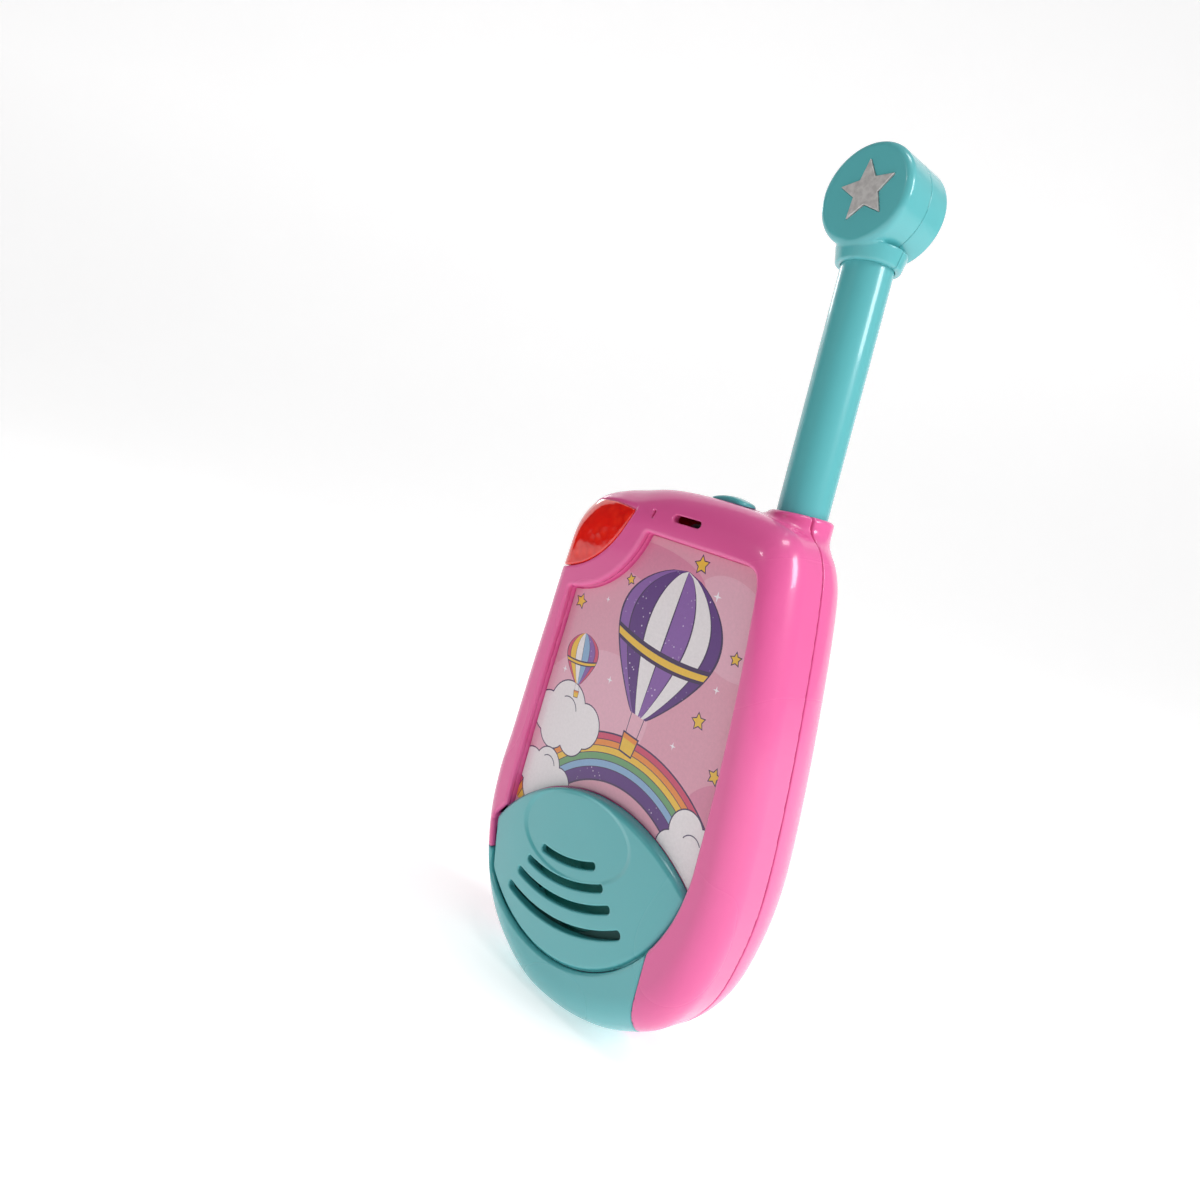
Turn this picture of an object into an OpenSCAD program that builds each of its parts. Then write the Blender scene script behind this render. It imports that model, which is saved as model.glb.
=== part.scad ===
// Toy walkie talkie, hand-held, with a tube antenna and a round head on top.
// X is to the viewer's right, the picture side faces -Y, Z is up along the antenna.
// Origin: middle of the flat foot. The two shells meet at Y = 0. All sizes in mm.

/* [Body] */
// largest width of the body
body_w = 80.2; // [70:0.1:90]
// height of the body from the foot to its top
body_h = 121.8; // [110:0.1:135]
// depth of the body, front face to back face
body_d = 26.8; // [25:0.1:30]
// wall thickness of the two shells at the sides
wall = 2.0; // [1.6:0.1:2.4]
// how far the front edge rounding reaches back
front_round = 7.5; // [5:0.1:9]
// share by which the outline shrinks at the front face
front_shrink = 0.15; // [0.1:0.01:0.22]
// how far the back edge rounding reaches forward
rear_round = 12.4; // [7:0.1:13]
// share by which the outline shrinks at the back face
rear_shrink = 0.22; // [0.1:0.01:0.24]
// gap that shows as the groove between the two shells
part_gap = 0.3; // [0.1:0.05:0.5]

/* [Picture recess] */
// depth of the picture recess below the front face
recess_d = 3.0; // [2:0.1:4]
// thickness of the plate under the picture
plate_t = 1.6; // [1.2:0.1:2]
// radius of the arc that bounds the picture below the lamp
hood_r = 24.0; // [20:0.1:28]

/* [Lamp] */
// radius of the lower edge of the lamp lens
lens_r = 24.1; // [20:0.1:28]
// wall of the lamp lens
lens_wall = 2.0; // [1.4:0.1:2.2]

/* [Speaker cover] */
// radius of the cover's upper edge
cover_up_r = 45.5; // [43:0.1:47]
// radius of the cover's lower edge
cover_lo_r = 37.9; // [36:0.1:38.5]
// radius of the dome over the cover
cover_dome_r = 235; // [160:5:300]
// how far the middle of the cover stands out of the front face
cover_rise = 1.0; // [0.5:0.1:1.6]
// width of the curved sound slots
slot_w = 1.7; // [1.2:0.1:2.2]

/* [Antenna] */
// X of the antenna axis
ant_x = 21.2; // [18:0.1:23]
// Y of the antenna axis
ant_y = 3.65; // [2:0.05:5]
// outside diameter of the antenna tube
ant_d = 11.0; // [9:0.1:12.5]
// wall of the antenna tube
ant_wall = 1.3; // [1:0.1:2]
// height of the head's axis above the foot
head_z = 186.6; // [170:0.1:195]
// radius of the round head
head_r = 10.4; // [9:0.1:12]
// thickness of the round head along Y
head_t = 15.0; // [12:0.1:16]
// radius of the socket at the antenna's foot
boss_r = 7.0; // [6.8:0.1:7.4]
// height of the socket's top edge
boss_top = 122.0; // [120:0.1:124]

/* [Controls] */
// travel of the talk button
talk_travel = 1.5; // [1:0.1:1.6]
// travel of the power slider
slide_travel = 4.0; // [3:0.1:4.2]
// width of the talk button
talk_w = 9.0; // [7:0.1:10]
// length of the talk button
talk_l = 22.0; // [18:0.1:24]

/* [Power] */
// radius of one AAA cell
cell_r = 5.2; // [5:0.05:5.25]
// length of one AAA cell with its knob
cell_l = 44.5; // [43.5:0.1:44.5]

/* [Belt clip] */
// free gap between the clip and the back face
clip_gap = 5.0; // [4.5:0.1:6]
// width of the clip's blade
clip_w = 14.0; // [12:0.1:16]
// height of the clip's pin above the foot
clip_z = 102.0; // [98:0.1:103]

/* [View] */
// which sub-part to draw, or all of them

/* [Hidden] */

PINK = [0.93, 0.32, 0.58];
TEAL = [0.36, 0.68, 0.72];
hd = body_d / 2;
cz = 58 * body_h / 121.8;
kx = body_w / 80.2;
kz = body_h / 121.8;
floor_y = -hd + recess_d;
plate_y = floor_y + plate_t;
hood_c = [-29.2, 117.9];
lens_c = [-34.6, 122.2];
cover_up_c = [1.9, 5.2];
cover_lo_c = [-8.0, 48.3];
slot_c = [-12.3, 70.5];
spk = [-4, 32.5];
drum_y0 = ant_y - 7.6;
star_c = [ant_x + 0.5, head_z + 0.3];
drum_y1 = drum_y0 + head_t;
clip_y = hd + 3.4;

// control points of the body's outline, seen from the front
OUT = [[0, -1], [10.9, 1.4], [19.8, 5.4], [28.2, 11.4], [34.3, 20.2], [37.5, 31.1],
  [39, 42.3], [39, 54], [37.8, 71.9], [36, 89.7], [34.2, 103.6], [32.5, 111.8],
  [29.3, 116.9], [23, 119.4], [12, 121.1], [0, 121.8], [-8, 121.6], [-14.7, 120.6],
  [-21.7, 119.5], [-28.3, 117.4], [-32.9, 112.6], [-34.4, 104.9], [-35.3, 96.7],
  [-36.4, 85.7], [-37.9, 72], [-39.6, 54], [-41, 41.6], [-40.3, 29.3], [-36.7, 17.7],
  [-30.2, 8.3], [-21.1, 2.1], [-11.3, -1.1]];

// smooth closed curve through control points, k steps per point
function cr(a, b, c, d, t) = 0.5 * ((2 * b) + (c - a) * t
  + (2 * a - 5 * b + 4 * c - d) * t * t + (3 * b - a - 3 * c + d) * t * t * t);
function smooth(p, k) = [for (i = [0:len(p) - 1]) for (j = [0:k - 1])
  cr(p[(i + len(p) - 1) % len(p)], p[i], p[(i + 1) % len(p)], p[(i + 2) % len(p)], j / k)];

// turns a front-view drawing into a block from y0 back to y1
module slab(y0, y1) {
  translate([0, y1, 0])
    rotate([90, 0, 0])
      linear_extrude(y1 - y0)
        children();
}

// front-view axis cylinder at x, z from y0 to y1
module ycyl(x, z, r, y0, y1, f = 48) {
  translate([x, y1, z])
    rotate([90, 0, 0])
      cylinder(h = y1 - y0, r = r, $fn = f);
}

// the rounded body as rings of points; si and sy shrink it to make the cavity
RIM = smooth(OUT, 2);
ARC = [0, 22, 44, 66, 90];
function ring_pts(s, y) = [for (p = RIM) [p[0] * kx * s, y, cz + (p[1] * kz - cz) * s]];
module body_form(si, sy) {
  n = len(RIM);
  rings = concat(
    [for (a = ARC) [1 - front_shrink * (1 - sin(a)), -hd + front_round * (1 - cos(a))]],
    [for (i = [4:-1:0])
      [1 - rear_shrink * (1 - sin(ARC[i])), hd - rear_round * (1 - cos(ARC[i]))]]);
  m = len(rings);
  pts = concat(
    [for (r = rings) each ring_pts(si * r[0], sy * r[1])],
    [[0, -sy * hd, cz]], [[0, sy * hd, cz]]);
  polyhedron(pts, concat(
    [for (i = [0:m - 2]) for (j = [0:n - 1])
      [i * n + j, i * n + (j + 1) % n, (i + 1) * n + (j + 1) % n]],
    [for (i = [0:m - 2]) for (j = [0:n - 1])
      [i * n + j, (i + 1) * n + (j + 1) % n, (i + 1) * n + j]],
    [for (j = [0:n - 1]) [m * n, (j + 1) % n, j]],
    [for (j = [0:n - 1]) [m * n + 1, (m - 1) * n + j, (m - 1) * n + (j + 1) % n]]),
    convexity = 4);
}

module outer() {
  body_form(1, 1);
}

module cavity() {
  body_form(1 - wall / 40.1, 1 - wall / hd);
}

// half space boxes used to part the body
module front_box() {
  translate([-60, -30, 0])
    cube([120, 30 - part_gap / 2, 140]);
}

module rear_box() {
  translate([-60, part_gap / 2, 0])
    cube([120, 30, 140]);
}

// outline of the speaker cover: two arcs and a straight left end, grown by g
module almond(g) {
  intersection() {
    translate(cover_up_c)
      circle(r = cover_up_r + g, $fn = 96);
    translate(cover_lo_c)
      circle(r = cover_lo_r + g, $fn = 96);
    polygon([[-41.55 - g, 60], [-27.81 - g, 0], [60, 0], [60, 60]]);
  }
}

// picture recess outline, drawn from the lower right, anticlockwise
PICT = concat(
  [[27.5, 36], [29.9, 44], [30.2, 52], [30.2, 60], [30.0, 71], [29.3, 85], [28.3, 97],
   [27.6, 103], [27.2, 106], [26.2, 108], [24.4, 109.1], [21, 109.5], [8, 110.2]],
  [for (i = [0:8]) hood_c + hood_r * [cos(-18 - 8.5 * i), sin(-18 - 8.5 * i)]],
  [[-28.3, 84], [-29.5, 70], [-30.5, 56], [-31.2, 44], [-31.5, 34]]);

module picture(g) {
  translate([0, 72])
    scale(1 + g / 34)
      translate([0, -72])
        polygon(PICT);
}

// front view of the trim piece below the speaker cover
module trim_area(g) {
  polygon([[-50, 22.8 - g], [-34, 24.0 - g], [-10, 36], [24.2 - g, 30], [24.1 - g, 25],
    [24.0 - g, 18], [23.3 - g, 10], [22.6 - g, 4], [22.4 - g, -5], [-50, -5]]);
}

// wedge that ends the lamp lens towards the body's top and side
module lens_wedge(g) {
  translate([-22, -8.22 - g, 105])
    rotate([14.15, 0, -8.93])
      translate([-60, -60, -60])
        cube([120, 60, 120]);
}

// block in which the lamp lens lies
module lens_block(g) {
  intersection() {
    slab(-20, -2)
      translate(lens_c)
        circle(r = lens_r + g, $fn = 96);
    lens_wedge(-g);
  }
}

// curved slot with round ends on the cover
module arc_slot(r, a0, a1, w) {
  intersection() {
    difference() {
      circle(r = r + w / 2, $fn = 120);
      circle(r = r - w / 2, $fn = 120);
    }
    polygon([[0, 0], 80 * [sin(a0), -cos(a0)], 80 * [sin((a0 + a1) / 2), -cos((a0 + a1) / 2)],
      80 * [sin(a1), -cos(a1)]]);
  }
  for (a = [a0, a1])
    translate(r * [sin(a), -cos(a)])
      circle(r = w / 2 - 0.03, $fn = 24);
}

// positions of the four screws that hold the shells
SCREWS = [[-29.5, 46], [29.5, 46], [-28.6, 93.5], [28.8, 90]];
// positions of the board screws
BOARD = [[-19.5, 64], [19.5, 64], [-12, 101], [12, 101]];

module front_shell() {
  color(PINK)
    difference() {
      union() {
        intersection() {
          difference() {
            union() {
              outer();
              translate([ant_x, ant_y, 106])
                cylinder(h = boss_top - 106, r = boss_r, $fn = 64);
            }
            cavity();
          }
          front_box();
        }
        // plate under the picture and behind the cover
        slab(-hd + wall - 0.3, plate_y)
          picture(1.6);
        intersection() {
          slab(-hd + 3.4, plate_y)
            almond(0.3);
          body_form(1 - 1.0 / 40.1, 1);
        }
        // socket half for the antenna, inside the body
        intersection() {
          translate([ant_x, ant_y, 106])
            cylinder(h = 14, r = boss_r, $fn = 64);
          front_box();
        }
        // screw bosses
        for (p = SCREWS)
          ycyl(p[0], p[1], 3.3, -11.6, -part_gap / 2);
        // posts for the circuit board
        for (p = BOARD)
          ycyl(p[0], p[1], 2.4, plate_y - 0.4, -6.3);
        // ring that locates the speaker
        difference() {
          ycyl(spk[0], spk[1], 20.0, plate_y - 0.4, -5.6, 72);
          ycyl(spk[0], spk[1], 18.3, plate_y - 1, 0, 72);
        }
        // ring that holds the microphone
        difference() {
          ycyl(5, 112.2, 4.4, -11.2, -6.4);
          ycyl(5, 112.2, 2.9, -9.5, 0);
        }
      }
      // picture recess and seat of the cover
      slab(-20, floor_y)
        picture(0);
      slab(-20, floor_y)
        almond(0.25);
      // sound hole
      ycyl(spk[0], spk[1], 15.2, -14, -8, 72);
      // lamp window
      lens_block(0.1);
      // space for the trim
      slab(-20, 1)
        difference() {
          trim_area(0);
          almond(0.3);
        }
      // microphone slot and the small slit beside it
      slab(-20, -9) {
        translate([1.7, 115.3])
          circle(r = 0.8, $fn = 24);
        translate([8.2, 115.0])
          circle(r = 0.8, $fn = 24);
        polygon([[1.7, 114.5], [8.2, 114.2], [8.2, 115.8], [1.7, 116.1]]);
      }
      slab(-20, -12.2)
        translate([-5.4, 115.2])
          square([0.6, 1.7], center = true);
      // antenna hole
      translate([ant_x, ant_y, 100])
        cylinder(h = 30, r = ant_d / 2 + 0.05, $fn = 64);
      // room for the microphone and for the lamp's reflector
      ycyl(5, 112.2, 3.05, -9.6, 0);
      ycyl(-20.8, 104.6, 3.8, -11.2, -6);
      // pilot holes
      for (p = SCREWS)
        ycyl(p[0], p[1], 1.35, -8.4, 1, 32);
      for (p = BOARD)
        ycyl(p[0], p[1], 0.95, -8.5, 0, 24);
      // shallow pocket and slot for the power slider
      translate([5.5, -3, 120.75])
        linear_extrude(6)
          stadium(16.6, 5, 0.3);
      translate([8 - 3.4 - slide_travel, -4.5, 112])
        cube([6.8 + slide_travel, 3.0, 14]);
      // space for the talk button
      talk_space(0.35);
    }
}

// opening in the side for the talk button, half in each shell
module talk_space(g) {
  translate([-45, 0, 73])
    rotate([0, 90, 0])
      linear_extrude(14)
        stadium(talk_l, talk_w, g);
  translate([-35.1, 0, 73])
    rotate([0, 90, 0])
      linear_extrude(3.6)
        stadium(25, 12, g);
}

module stadium(l, w, g) {
  union() {
    square([l - w, w + 2 * g], center = true);
    for (s = [-1, 1])
      translate([s * (l - w) / 2, 0])
        circle(d = w + 2 * g, $fn = 48);
  }
}

module rear_shell() {
  color(PINK)
    difference() {
      union() {
        intersection() {
          difference() {
            union() {
              outer();
              translate([ant_x, ant_y, 106])
                cylinder(h = boss_top - 106, r = boss_r, $fn = 64);
            }
            cavity();
          }
          rear_box();
        }
        // socket half for the antenna, inside the body
        intersection() {
          translate([ant_x, ant_y, 106])
            cylinder(h = 14, r = boss_r, $fn = 64);
          rear_box();
        }
        // lip that closes the groove at the foot
        translate([-5, -1.2, 0])
          cube([10, 1.6, 1.7]);
        // battery bay walls and floor
        translate([-19.8, part_gap / 2, 16.4])
          cube([39.6, hd - 1.4 - part_gap / 2, 53.2]);
        // screw bosses of the shells
        for (p = SCREWS)
          ycyl(p[0], p[1], 4.0, part_gap / 2, 11.0);
        // bosses for the door screws
        for (z = [13.6, 72.4])
          ycyl(0, z, 3.2, 3, hd - 1.4);
        // ears of the belt clip
        for (s = [-1, 1])
          translate([s * (clip_w / 2 + 1.6), 0, 0])
            clip_ear();
      }
      // bay
      translate([-18, 1.1, 18])
        cube([36, 14, 50]);
      // opening for the door
      slab(hd - 1.4, 20)
        door_form(0.3);
      // pilot holes of the door screws
      for (z = [13.6, 72.4])
        ycyl(0, z, 1.15, 4.5, 14, 24);
      // shell screws: clearance and head recess
      for (p = SCREWS) {
        ycyl(p[0], p[1], 1.35, -1, 14, 32);
        ycyl(p[0], p[1], 2.7, 5.2, 20, 32);
      }
      // antenna hole
      translate([ant_x, ant_y, 100])
        cylinder(h = 30, r = ant_d / 2 + 0.05, $fn = 64);
      // pin hole of the clip
      translate([-20, clip_y, clip_z])
        rotate([0, 90, 0])
          cylinder(h = 40, r = 1.25, $fn = 32);
      talk_space(0.35);
      // wire holes through the bay wall
      for (x = [-14, 14])
        translate([x, 3.4, 66])
          cylinder(h = 5, r = 0.8, $fn = 20);
    }
}

// one ear that carries the clip's pin
module clip_ear() {
  translate([-1.25, 0, 0])
    rotate([90, 0, 90])
      linear_extrude(2.5)
        union() {
          translate([clip_y, clip_z])
            circle(r = 3.0, $fn = 48);
          polygon([[hd - 1, clip_z - 4.6], [hd, clip_z - 4.6], [clip_y + 2.1, clip_z - 2.2],
            [clip_y + 2.1, clip_z + 2.2], [hd, clip_z + 4.2], [hd - 1, clip_z + 4.2]]);
        }
}

// outline of the battery door: plate with a tongue at each end
module door_form(g) {
  translate([-19 - g, 17 - g])
    square([38 + 2 * g, 52 + 2 * g]);
  for (z = [13.6, 72.4])
    translate([0, z]) {
      circle(r = 4.2 + g, $fn = 48);
      square([8.4 + 2 * g, 8], center = true);
    }
}

module battery_door() {
  color(PINK)
    difference() {
      union() {
        slab(hd - 1.4, hd)
          door_form(0);
        // grip ribs
        for (z = [26, 29, 32])
          translate([-9, hd - 0.5, z])
            cube([18, 1.1, 1.2]);
      }
      for (z = [13.6, 72.4]) {
        ycyl(0, z, 1.35, 5, 20, 24);
        ycyl(0, z, 2.5, hd - 1.0, 20, 32);
      }
    }
}

module door_screws() {
  color([0.75, 0.76, 0.78])
    for (z = [13.6, 72.4])
      difference() {
        union() {
          ycyl(0, z, 1.1, 6, hd - 0.5, 24);
          ycyl(0, z, 2.3, hd - 1.0, hd - 0.1, 32);
        }
        translate([-1.4, hd - 0.5, z - 0.25])
          cube([2.8, 1, 0.5]);
        translate([-0.25, hd - 0.5, z - 1.4])
          cube([0.5, 1, 2.8]);
      }
}

module bottom_trim() {
  color(TEAL)
    intersection() {
      difference() {
        outer();
        cavity();
      }
      slab(-20, -part_gap / 2)
        difference() {
          trim_area(0.12);
          almond(0.4);
        }
      difference() {
        front_box();
        translate([-5.15, -1.35, -1])
          cube([10.3, 3, 2.9]);
      }
    }
}

module dome(r, y) {
  translate([-3, y, 34])
    rotate([-90, 0, 0])
      rotate_extrude($fn = 128)
        intersection() {
          translate([0, r])
            circle(r = r, $fn = 180);
          square([60, 12]);
        }
}

// the four curved slots
module sound_slots() {
  translate(slot_c) {
    arc_slot(37.6, -1.7, 24.6, slot_w);
    arc_slot(42.3, -6.7, 27.8, slot_w);
    arc_slot(46.8, -9.3, 29.6, slot_w);
    arc_slot(52.1, -11.1, 31.8, slot_w + 0.3);
  }
}

module speaker_cover() {
  color(TEAL)
    difference() {
      union() {
        intersection() {
          slab(-16, floor_y)
            almond(0);
          dome(cover_dome_r, -hd - cover_rise);
        }
        // collar that fits the sound hole
        ycyl(spk[0], spk[1], 15.05, floor_y - 0.4, -9.95, 72);
      }
      // hollow in front of the speaker
      intersection() {
        ycyl(spk[0], spk[1], 14.0, -14, 0, 72);
        translate([0, 1.8, 0])
          dome(cover_dome_r, -hd - cover_rise);
      }
      // thumb dish
      translate([-4.7, -hd - cover_rise - 59.35, 40.5])
        sphere(r = 60, $fn = 120);
      // sound slots, blind beside the sound hole
      slab(-20, -10.9)
        sound_slots();
      slab(-20, 0)
        intersection() {
          sound_slots();
          translate(spk)
            circle(r = 13.8, $fn = 72);
        }
    }
}

module light_lens() {
  color([0.8, 0.05, 0.05, 0.7])
    intersection() {
      difference() {
        outer();
        body_form(1 - lens_wall / 40.1, 1 - lens_wall / hd);
      }
      lens_block(0);
    }
}

module light_reflector() {
  color([0.92, 0.92, 0.9])
    translate([-20.8, -8.3, 104.6])
      rotate([90, 0, 0])
        rotate_extrude($fn = 48)
          polygon([[1.7, 0], [2.4, 0], [3.4, 1.6], [2.9, 1.6], [1.7, 0.5]]);
}

module light_led() {
  color([0.9, 0.2, 0.15])
    union() {
      ycyl(-20.8, 104.6, 1.5, -9.6, -6.25, 32);
      translate([-20.8, -9.6, 104.6])
        sphere(r = 1.5, $fn = 32);
    }
}

module picture_label() {
  color([0.96, 0.72, 0.82])
    slab(floor_y - 0.3, floor_y - 0.02)
      difference() {
        translate([0, 72])
          scale(0.992)
            translate([0, -72])
              polygon(PICT);
        almond(0.3);
        polygon([[-60, 20], [-38.3, 26.2], [29.4, 42.0], [60, 49], [60, 0], [-60, 0]]);
      }
}

module antenna_tube() {
  color(TEAL)
    difference() {
      union() {
        translate([ant_x, ant_y, 104.6])
          cylinder(h = 70.4, r = ant_d / 2, $fn = 64);
        translate([ant_x, ant_y, 104.4])
          cylinder(h = 1.5, r = ant_d / 2 + 1.3, $fn = 64);
      }
      translate([ant_x, ant_y, 100])
        cylinder(h = 90, r = ant_d / 2 - ant_wall, $fn = 64);
    }
}

// full round head with its collar, before it is parted
module head_form() {
  difference() {
    union() {
      translate([ant_x, drum_y1, head_z])
        rotate([90, 0, 0])
          rotate_extrude($fn = 96)
            union() {
              square([head_r - 1.5, head_t]);
              translate([0, 1.5])
                square([head_r, head_t - 3.0]);
              translate([head_r - 1.5, 1.5])
                circle(r = 1.5, $fn = 48);
              translate([head_r - 1.5, head_t - 1.5])
                circle(r = 1.5, $fn = 48);
            }
      translate([ant_x, ant_y, 173.9])
        cylinder(h = 3.6, r1 = 6.7, r2 = 7.5, $fn = 64);
    }
    ycyl(ant_x, head_z, head_r - 1.9, drum_y0 + 1.8, drum_y1 - 1.8, 96);
    translate([ant_x, ant_y, 170])
      cylinder(h = 5.1, r = ant_d / 2 + 0.05, $fn = 64);
  }
}

module antenna_head() {
  color(TEAL)
    difference() {
      head_form();
      translate([ant_x - 20, ant_y - 0.02, 160])
        cube([40, 20, 50]);
      // seat of the star
      slab(drum_y0 - 1, drum_y0 + 0.7)
        translate(star_c)
          rotate(7)
            star(6.5);
    }
}

module antenna_head_rear() {
  color(TEAL)
    difference() {
      head_form();
      translate([ant_x - 20, ant_y - 20 + 0.02, 160])
        cube([40, 20, 50]);
    }
}

module star(r) {
  polygon([for (i = [0:9]) (i % 2 == 0 ? r : r * 0.46) * [sin(36 * i), cos(36 * i)]]);
}

module star_inlay() {
  color([0.8, 0.8, 0.82])
    slab(drum_y0 - 0.35, drum_y0 + 0.68)
      translate(star_c)
        rotate(7)
          star(6.35);
}

module power_slider() {
  color(TEAL)
    difference() {
      union() {
        // low domed cap on top
        intersection() {
          translate([7.5, -3, 121.05])
            linear_extrude(3)
              stadium(12, 5, 0);
          translate([7.5, 3, 108.4])
            rotate([90, 0, 0])
              cylinder(h = 12, r = 14.6, $fn = 180);
        }
        // stem through the slot
        translate([5, -4.15, 113.2])
          cube([6, 2.3, 9.2]);
        // flange below the wall
        translate([4, -5.2, 116.0])
          cube([8, 4.4, 1.2]);
      }
      // fork over the switch nub
      translate([7.2, -6, 110])
        cube([1.6, 6, 5.2]);
    }
}

module switch_nub() {
  color([0.2, 0.2, 0.2])
    translate([7.25, -3.8, 111.2])
      cube([1.5, 1.6, 3.8]);
}

module power_switch() {
  color([0.75, 0.76, 0.78])
    difference() {
      translate([1, -4.65, 105.0])
        cube([12, 3.7, 7.2]);
      translate([3.0, -4.0, 111])
        cube([7, 2.2, 2]);
    }
}

module talk_button() {
  color(TEAL)
    union() {
      // cap
      translate([-39.9, 0, 73])
        rotate([0, 90, 0])
          linear_extrude(5.4)
            stadium(talk_l, talk_w, 0);
      // flange behind the wall
      translate([-34.7, 0, 73])
        rotate([0, 90, 0])
          linear_extrude(1.2)
            stadium(talk_l + 3, talk_w + 3, 0);
      // stem to the switch
      translate([-35, -3.6, 71.6])
        cube([6.0, 1.8, 2.8]);
      // grip ribs
      for (z = [68, 71.33, 74.67, 78])
        translate([-40.2, -3, z - 0.5])
          cube([1, 6, 1]);
    }
}

module talk_switch() {
  color([0.15, 0.15, 0.16])
    union() {
      translate([-23.4, -4.65, 70])
        cube([5, 3.9, 6]);
      translate([-26.9, -2.7, 73])
        rotate([0, 90, 0])
          cylinder(h = 4, r = 1.0, $fn = 24);
    }
}

module circuit_board() {
  color([0.1, 0.45, 0.25])
    difference() {
      translate([-24.5, -6.25, 59])
        cube([49, 1.6, 48]);
      for (p = BOARD)
        ycyl(p[0], p[1], 1.1, -8, 0, 24);
    }
}

module radio_chips() {
  color([0.1, 0.1, 0.11]) {
    translate([-8, -4.65, 78])
      cube([12, 1.6, 8]);
    translate([9, -4.65, 84])
      cube([6, 1.3, 5]);
    translate([-16, -4.65, 89])
      cube([7, 1.3, 4]);
    ycyl(14, 95, 2.0, -4.65, -0.8, 32);
    ycyl(-4, 94, 1.6, -4.65, -1.2, 32);
  }
}

module crystal_can() {
  color([0.78, 0.79, 0.8])
    hull() {
      ycyl(8, 76, 1.7, -4.65, -1.4, 32);
      ycyl(15, 76, 1.7, -4.65, -1.4, 32);
    }
}

module tuning_coils() {
  color([0.75, 0.45, 0.2])
    for (p = [[-14, 82], [18.5, 79], [4, 97.5]])
      difference() {
        ycyl(p[0], p[1], 2.3, -4.65, -0.6, 32);
        ycyl(p[0], p[1], 1.0, -3, 1, 24);
      }
}

module microphone() {
  color([0.3, 0.3, 0.32])
    difference() {
      ycyl(5, 112.2, 3.0, -9.5, -6.2, 36);
      ycyl(5, 112.2, 0.8, -10, -9.0, 24);
    }
}

module speaker_frame() {
  color([0.55, 0.56, 0.58])
    translate([spk[0], plate_y + 0.05, spk[1]])
      rotate([-90, 0, 0])
        rotate_extrude($fn = 72)
          polygon([[15.4, 0], [18, 0], [18, 1.2], [16, 1.2], [9.6, 4.6], [3.2, 4.6],
            [3.2, 3.8], [9.2, 3.8], [15.4, 0.5]]);
}

module speaker_magnet() {
  color([0.35, 0.35, 0.37])
    difference() {
      ycyl(spk[0], spk[1], 9.0, plate_y + 4.7, -0.5, 48);
      ycyl(spk[0], spk[1], 2.9, -8, -1.8, 36);
    }
}

module speaker_cone() {
  color([0.2, 0.2, 0.22])
    translate([spk[0], plate_y, spk[1]])
      rotate([-90, 0, 0])
        rotate_extrude($fn = 72)
          polygon([[0, -0.3], [4, 0.4], [15.0, -0.9], [15.0, -0.5], [5.0, 1.9], [2.6, 3.6],
            [2.2, 3.6], [2.2, 1.6], [0, 0.6]]);
}

module battery_cells() {
  color([0.2, 0.35, 0.65])
    for (i = [-1:1])
      translate([i * 11.2, 6.5, 0])
        rotate([0, i == 0 ? 180 : 0, 0])
          translate([0, 0, i == 0 ? -87.1 : 0]) {
            translate([0, 0, 21.3])
              cylinder(h = cell_l - 1.0, r = cell_r, $fn = 48);
            translate([0, 0, 64.7])
              cylinder(h = 1.1, r = 2.6, $fn = 32);
          }
}

module contact_plates() {
  color([0.8, 0.8, 0.78]) {
    translate([-15.5, 2.2, 18.1])
      cube([20.4, 8.4, 0.5]);
    translate([6.6, 2.2, 18.1])
      cube([9.0, 8.4, 0.5]);
    translate([-15.8, 2.2, 67.3])
      cube([8.9, 8.4, 0.5]);
    translate([-4.9, 2.2, 67.3])
      cube([20.4, 8.4, 0.5]);
  }
}

// coil spring drawn as stacked rings on one seat
module coil(r, n, p) {
  for (i = [0:n - 1])
    translate([0, 0, i * p + 0.35])
      rotate_extrude($fn = 32)
        translate([r, 0])
          circle(r = 0.35, $fn = 16);
  translate([r - 0.1, 0, 0.2])
    cylinder(h = (n - 1) * p + 0.3, r = 0.3, $fn = 16);
}

module contact_springs() {
  color([0.8, 0.8, 0.78]) {
    translate([-11.2, 6.5, 18.65])
      coil(3.0, 3, 0.9);
    translate([11.2, 6.5, 18.65])
      coil(3.0, 3, 0.9);
    translate([0, 6.5, 67.25])
      rotate([180, 0, 0])
        coil(3.0, 2, 0.6);
  }
}

module belt_clip() {
  color(TEAL)
    difference() {
      union() {
        // knuckle
        translate([-clip_w / 2 + 0.3, clip_y, clip_z])
          rotate([0, 90, 0])
            cylinder(h = clip_w - 0.6, r = 2.9, $fn = 48);
        // blade, tip and thumb pad in side view
        translate([-clip_w / 2 + 0.3, 0, 0])
          rotate([90, 0, 90])
            linear_extrude(clip_w - 0.6)
              polygon([[hd + clip_gap, clip_z - 19.5], [hd + 1.3, clip_z - 22.6],
                [hd + 0.6, clip_z - 24.0], [hd + 2.2, clip_z - 24.6],
                [hd + clip_gap + 2, clip_z - 20.2], [hd + clip_gap + 2, clip_z + 1],
                [hd + clip_gap + 0.4, clip_z + 8.6], [hd + clip_gap - 1.4, clip_z + 8.6],
                [clip_y, clip_z + 2.6], [clip_y, clip_z - 2.8], [hd + clip_gap, clip_z - 4.0]]);
      }
      translate([-20, clip_y, clip_z])
        rotate([0, 90, 0])
          cylinder(h = 40, r = 1.27, $fn = 32);
      // pocket for the spring
      translate([-2.6, clip_y - 3.4, clip_z - 3.2])
        cube([5.2, 6.0, 6.2]);
    }
}

module clip_pin() {
  color([0.75, 0.76, 0.78])
    translate([-clip_w / 2 - 2.7, clip_y, clip_z])
      rotate([0, 90, 0])
        cylinder(h = clip_w + 5.4, r = 1.22, $fn = 32);
}

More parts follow.
